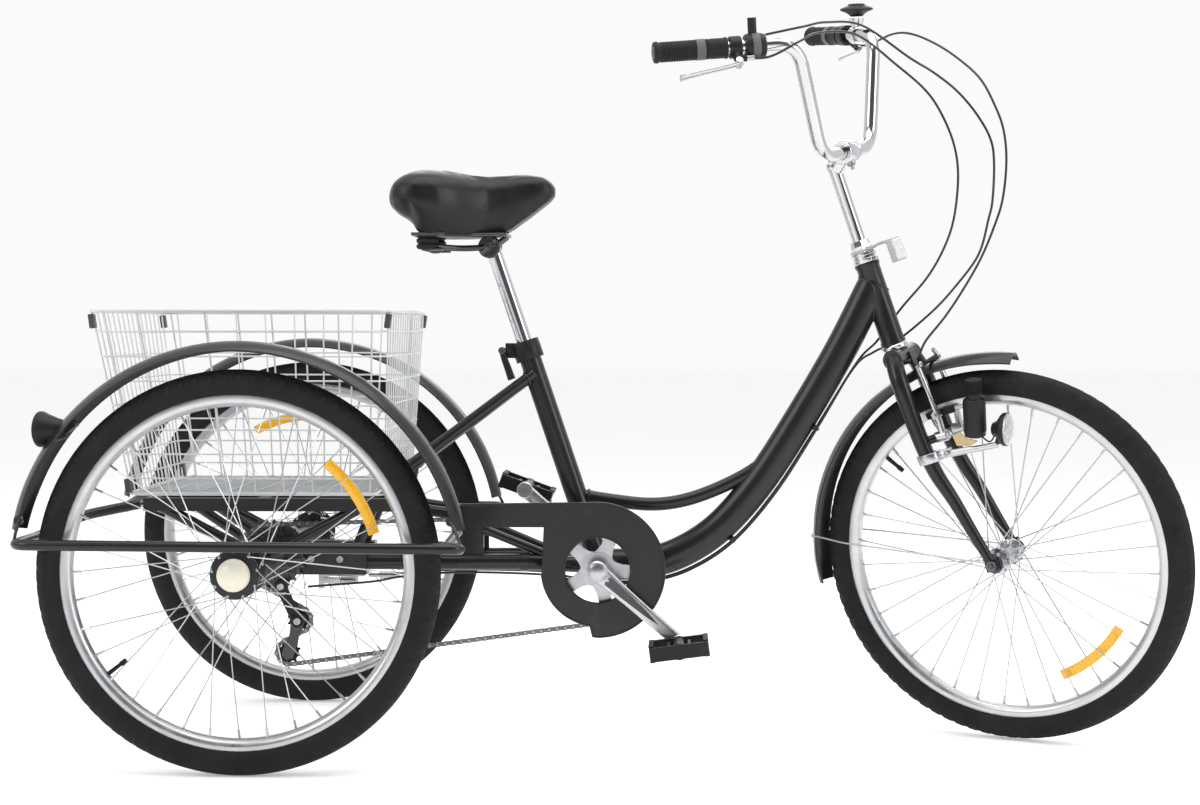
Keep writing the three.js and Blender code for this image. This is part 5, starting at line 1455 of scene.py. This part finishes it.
CABLE = 1.9
front_brake_line = [(222, 13, 208), (195, 44, 198), (165, 100, 197), (139, 140, 184), (128, 176, 156),
                    (116, 209, 120), (103, 239, 75),
                    (89, 253, 27), (77, 258, -16), (63, 251, -64), (47, 232, -117), (34, 209, -154),
                    (18, 176, -196), (1, 136, -235), (-12, 101, -264), (-25, 65, -289), (-30, 48, -308)]
rear_brake_line = [(-222, 13, 208), (-195, 44, 198), (-172, 88, 205), (-100, 92, 214), (0, 108, 200),
                   (50, 135, 138), (54, 166, 84), (51, 180, 38),
                   (48, 184, -13), (45, 175, -61), (41, 149, -119), (38, 119, -159), (36, 76, -196)]
rear_brake_frame = [(1004, 26, 690), (968, 30, 640), (934, 16, 605), (867, 10, 498), (802, 10, 397),
                    (734, 10, 318), (663, 10, 272), (595, 10, 253), (522, 10, 251), (470, 12, 258),
                    (430, 14, 266),
                    (300, 0, 270), (215, -12, 266), (152, -12, 262)]
shift_line = [(-181, 42, 233), (-150, 92, 226), (-90, 104, 226), (0, 122, 210), (38, 164, 140),
              (37, 194, 105), (36, 221, 65),
              (34, 240, 21), (33, 249, -23), (31, 243, -60), (36, 220, -113), (40, 202, -140),
              (44, 166, -188),
              (42, 112, -225), (36, 62, -252)]
shift_frame = [(1000, 34, 640), (962, 20, 622), (927, -4, 596), (868, -8, 498), (803, -8, 396),
               (735, -8, 317),
               (664, -8, 271), (595, -8, 252), (522, -12, 250), (470, -14, 257), (430, -22, 265),
               (300, -30, 269), (210, -46, 264), (160, -62, 257), (60, -74, 250)]


def cable(name, points, body, node):
    return piece(name, Shape().tube(smooth(points, 8), CABLE, 14), housing, body, [node])


cable("cable_front_brake", [on(*p) for p in front_brake_line], "steering", "front_brake_cable")
for name, node, turned_part, still_part in (
    ("cable_rear_brake", "rear_brake_cable", rear_brake_line, rear_brake_frame),
    ("cable_shift", "shift_cable", shift_line, shift_frame),
):
    turning = [on(*p) for p in turned_part]
    still = [at(*p) for p in still_part]
    run = cable(name, turning + still, None, node)
    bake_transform(run)

# A threaded adjuster where the brake's cable reaches the band, and clips that hold the cables to the frame.
adjuster = Shape().rod(at(196, -12, 262), at(166, -12, 262), 5.4, sides=24)
for k in range(5):
    adjuster.rod(at(190 - 5 * k, -12, 262), at(187 - 5 * k, -12, 262), 6.4, sides=10)
adjuster.rod(at(166, -12, 262), at(148, -12, 262), 3.4, sides=18)
piece("brake_adjuster", adjuster, alloy, "frame", bevel=0.3)
ties = Shape()
for x, y, z in ((867, 1, 500), (734, 1, 320), (595, 1, 254)):
    ties.box((9, 28, 9), at(x, y, z), Matrix.Rotation(math.radians(-20), 3, "Y"))
for _, sign in SIDES:
    ties.lathe([(12.8, -7), (14.6, -7), (14.6, 7), (12.8, 7), (12.8, -7)], at(404, sign * 48, 288), X, 32)
piece("cable_guides", ties, paint, "frame", bevel=1.0)

# ---- Floor, light and camera ----

floor_mesh = bpy.data.meshes.new("floor")
span = 30.0
floor_mesh.from_pydata([(-span, -span, 0), (span, -span, 0), (span, span, 0), (-span, span, 0)], [],
                       [(0, 1, 2, 3)])
ground = Nodes("floor_paper")
speckle = ground.noise(3.0, 4.0)
floor_tint = ground.mix(ground.ramp(speckle, 0.3, 0.7, 0, 1), (0.86, 0.86, 0.86, 1), (0.89, 0.89, 0.89, 1))
ground.plug(Base_Color=floor_tint, Roughness=0.85, Emission_Color=(1, 1, 1, 1), Emission_Strength=0.3)
floor_mesh.materials.append(ground.material)
floor = bpy.data.objects.new("floor", floor_mesh)
bpy.context.scene.collection.objects.link(floor)

# A pale studio that is darker behind the camera, so that chrome has something to show.
world = bpy.data.worlds.new("studio")
world.use_nodes = True
links = world.node_tree.links
background = world.node_tree.nodes["Background"]
place = world.node_tree.nodes.new("ShaderNodeTexCoord").outputs["Generated"]
split = world.node_tree.nodes.new("ShaderNodeSeparateXYZ")
links.new(place, split.inputs[0])
fade = world.node_tree.nodes.new("ShaderNodeValToRGB")
fade.color_ramp.interpolation = "EASE"
fade.color_ramp.elements[0].position, fade.color_ramp.elements[0].color = 0.0, (0.12, 0.12, 0.13, 1)
fade.color_ramp.elements[1].position, fade.color_ramp.elements[1].color = 0.85, (0.95, 0.95, 0.95, 1)
shift = world.node_tree.nodes.new("ShaderNodeMapRange")
shift.inputs["From Min"].default_value, shift.inputs["From Max"].default_value = -1.0, 0.6
links.new(split.outputs["Y"], shift.inputs["Value"])
links.new(shift.outputs[0], fade.inputs[0])
# What the camera sees of it is one plain pale tone.
seen = world.node_tree.nodes.new("ShaderNodeMixRGB")
direct = world.node_tree.nodes.new("ShaderNodeLightPath").outputs["Is Camera Ray"]
links.new(direct, seen.inputs["Fac"])
links.new(fade.outputs[0], seen.inputs["Color1"])
seen.inputs["Color2"].default_value = (0.96, 0.96, 0.96, 1)
links.new(seen.outputs["Color"], background.inputs[0])
background.inputs[1].default_value = 1.0
bpy.context.scene.world = world


def softbox(name, place, aim, size, power, tint=(1, 1, 1)):
    light = bpy.data.lights.new(name, "AREA")
    light.shape = "RECTANGLE"
    light.size, light.size_y = size
    light.energy = power
    light.color = tint
    obj = bpy.data.objects.new(name, light)
    obj.location = place
    obj.rotation_mode = "QUATERNION"
    obj.rotation_quaternion = (Vector(aim) - Vector(place)).to_track_quat("-Z", "Y")
    bpy.context.scene.collection.objects.link(obj)


softbox("light_above", (0.2, -0.6, 3.6), (0, 0, 0.4), (4.0, 3.0), 90)
softbox("light_left", (-3.2, -2.6, 2.4), (0, 0, 0.5), (2.4, 2.4), 60, (1.0, 0.98, 0.95))
softbox("light_right", (3.4, -1.8, 1.8), (0.2, 0, 0.6), (1.6, 2.6), 50, (0.96, 0.98, 1.0))
softbox("light_behind", (0.6, 3.6, 2.6), (0, 0, 0.5), (3.4, 2.0), 45)

lens_view = bpy.data.cameras.new("camera")
lens_view.lens = 65.45
lens_view.sensor_width = 36.0
camera = bpy.data.objects.new("camera", lens_view)
camera.location = (0.1003, -3.5053, 0.6635)
camera.rotation_euler = (math.radians(87.992), 0, math.radians(2.168))
bpy.context.scene.collection.objects.link(camera)
bpy.context.scene.camera = camera
bpy.context.scene.view_settings.view_transform = "Standard"
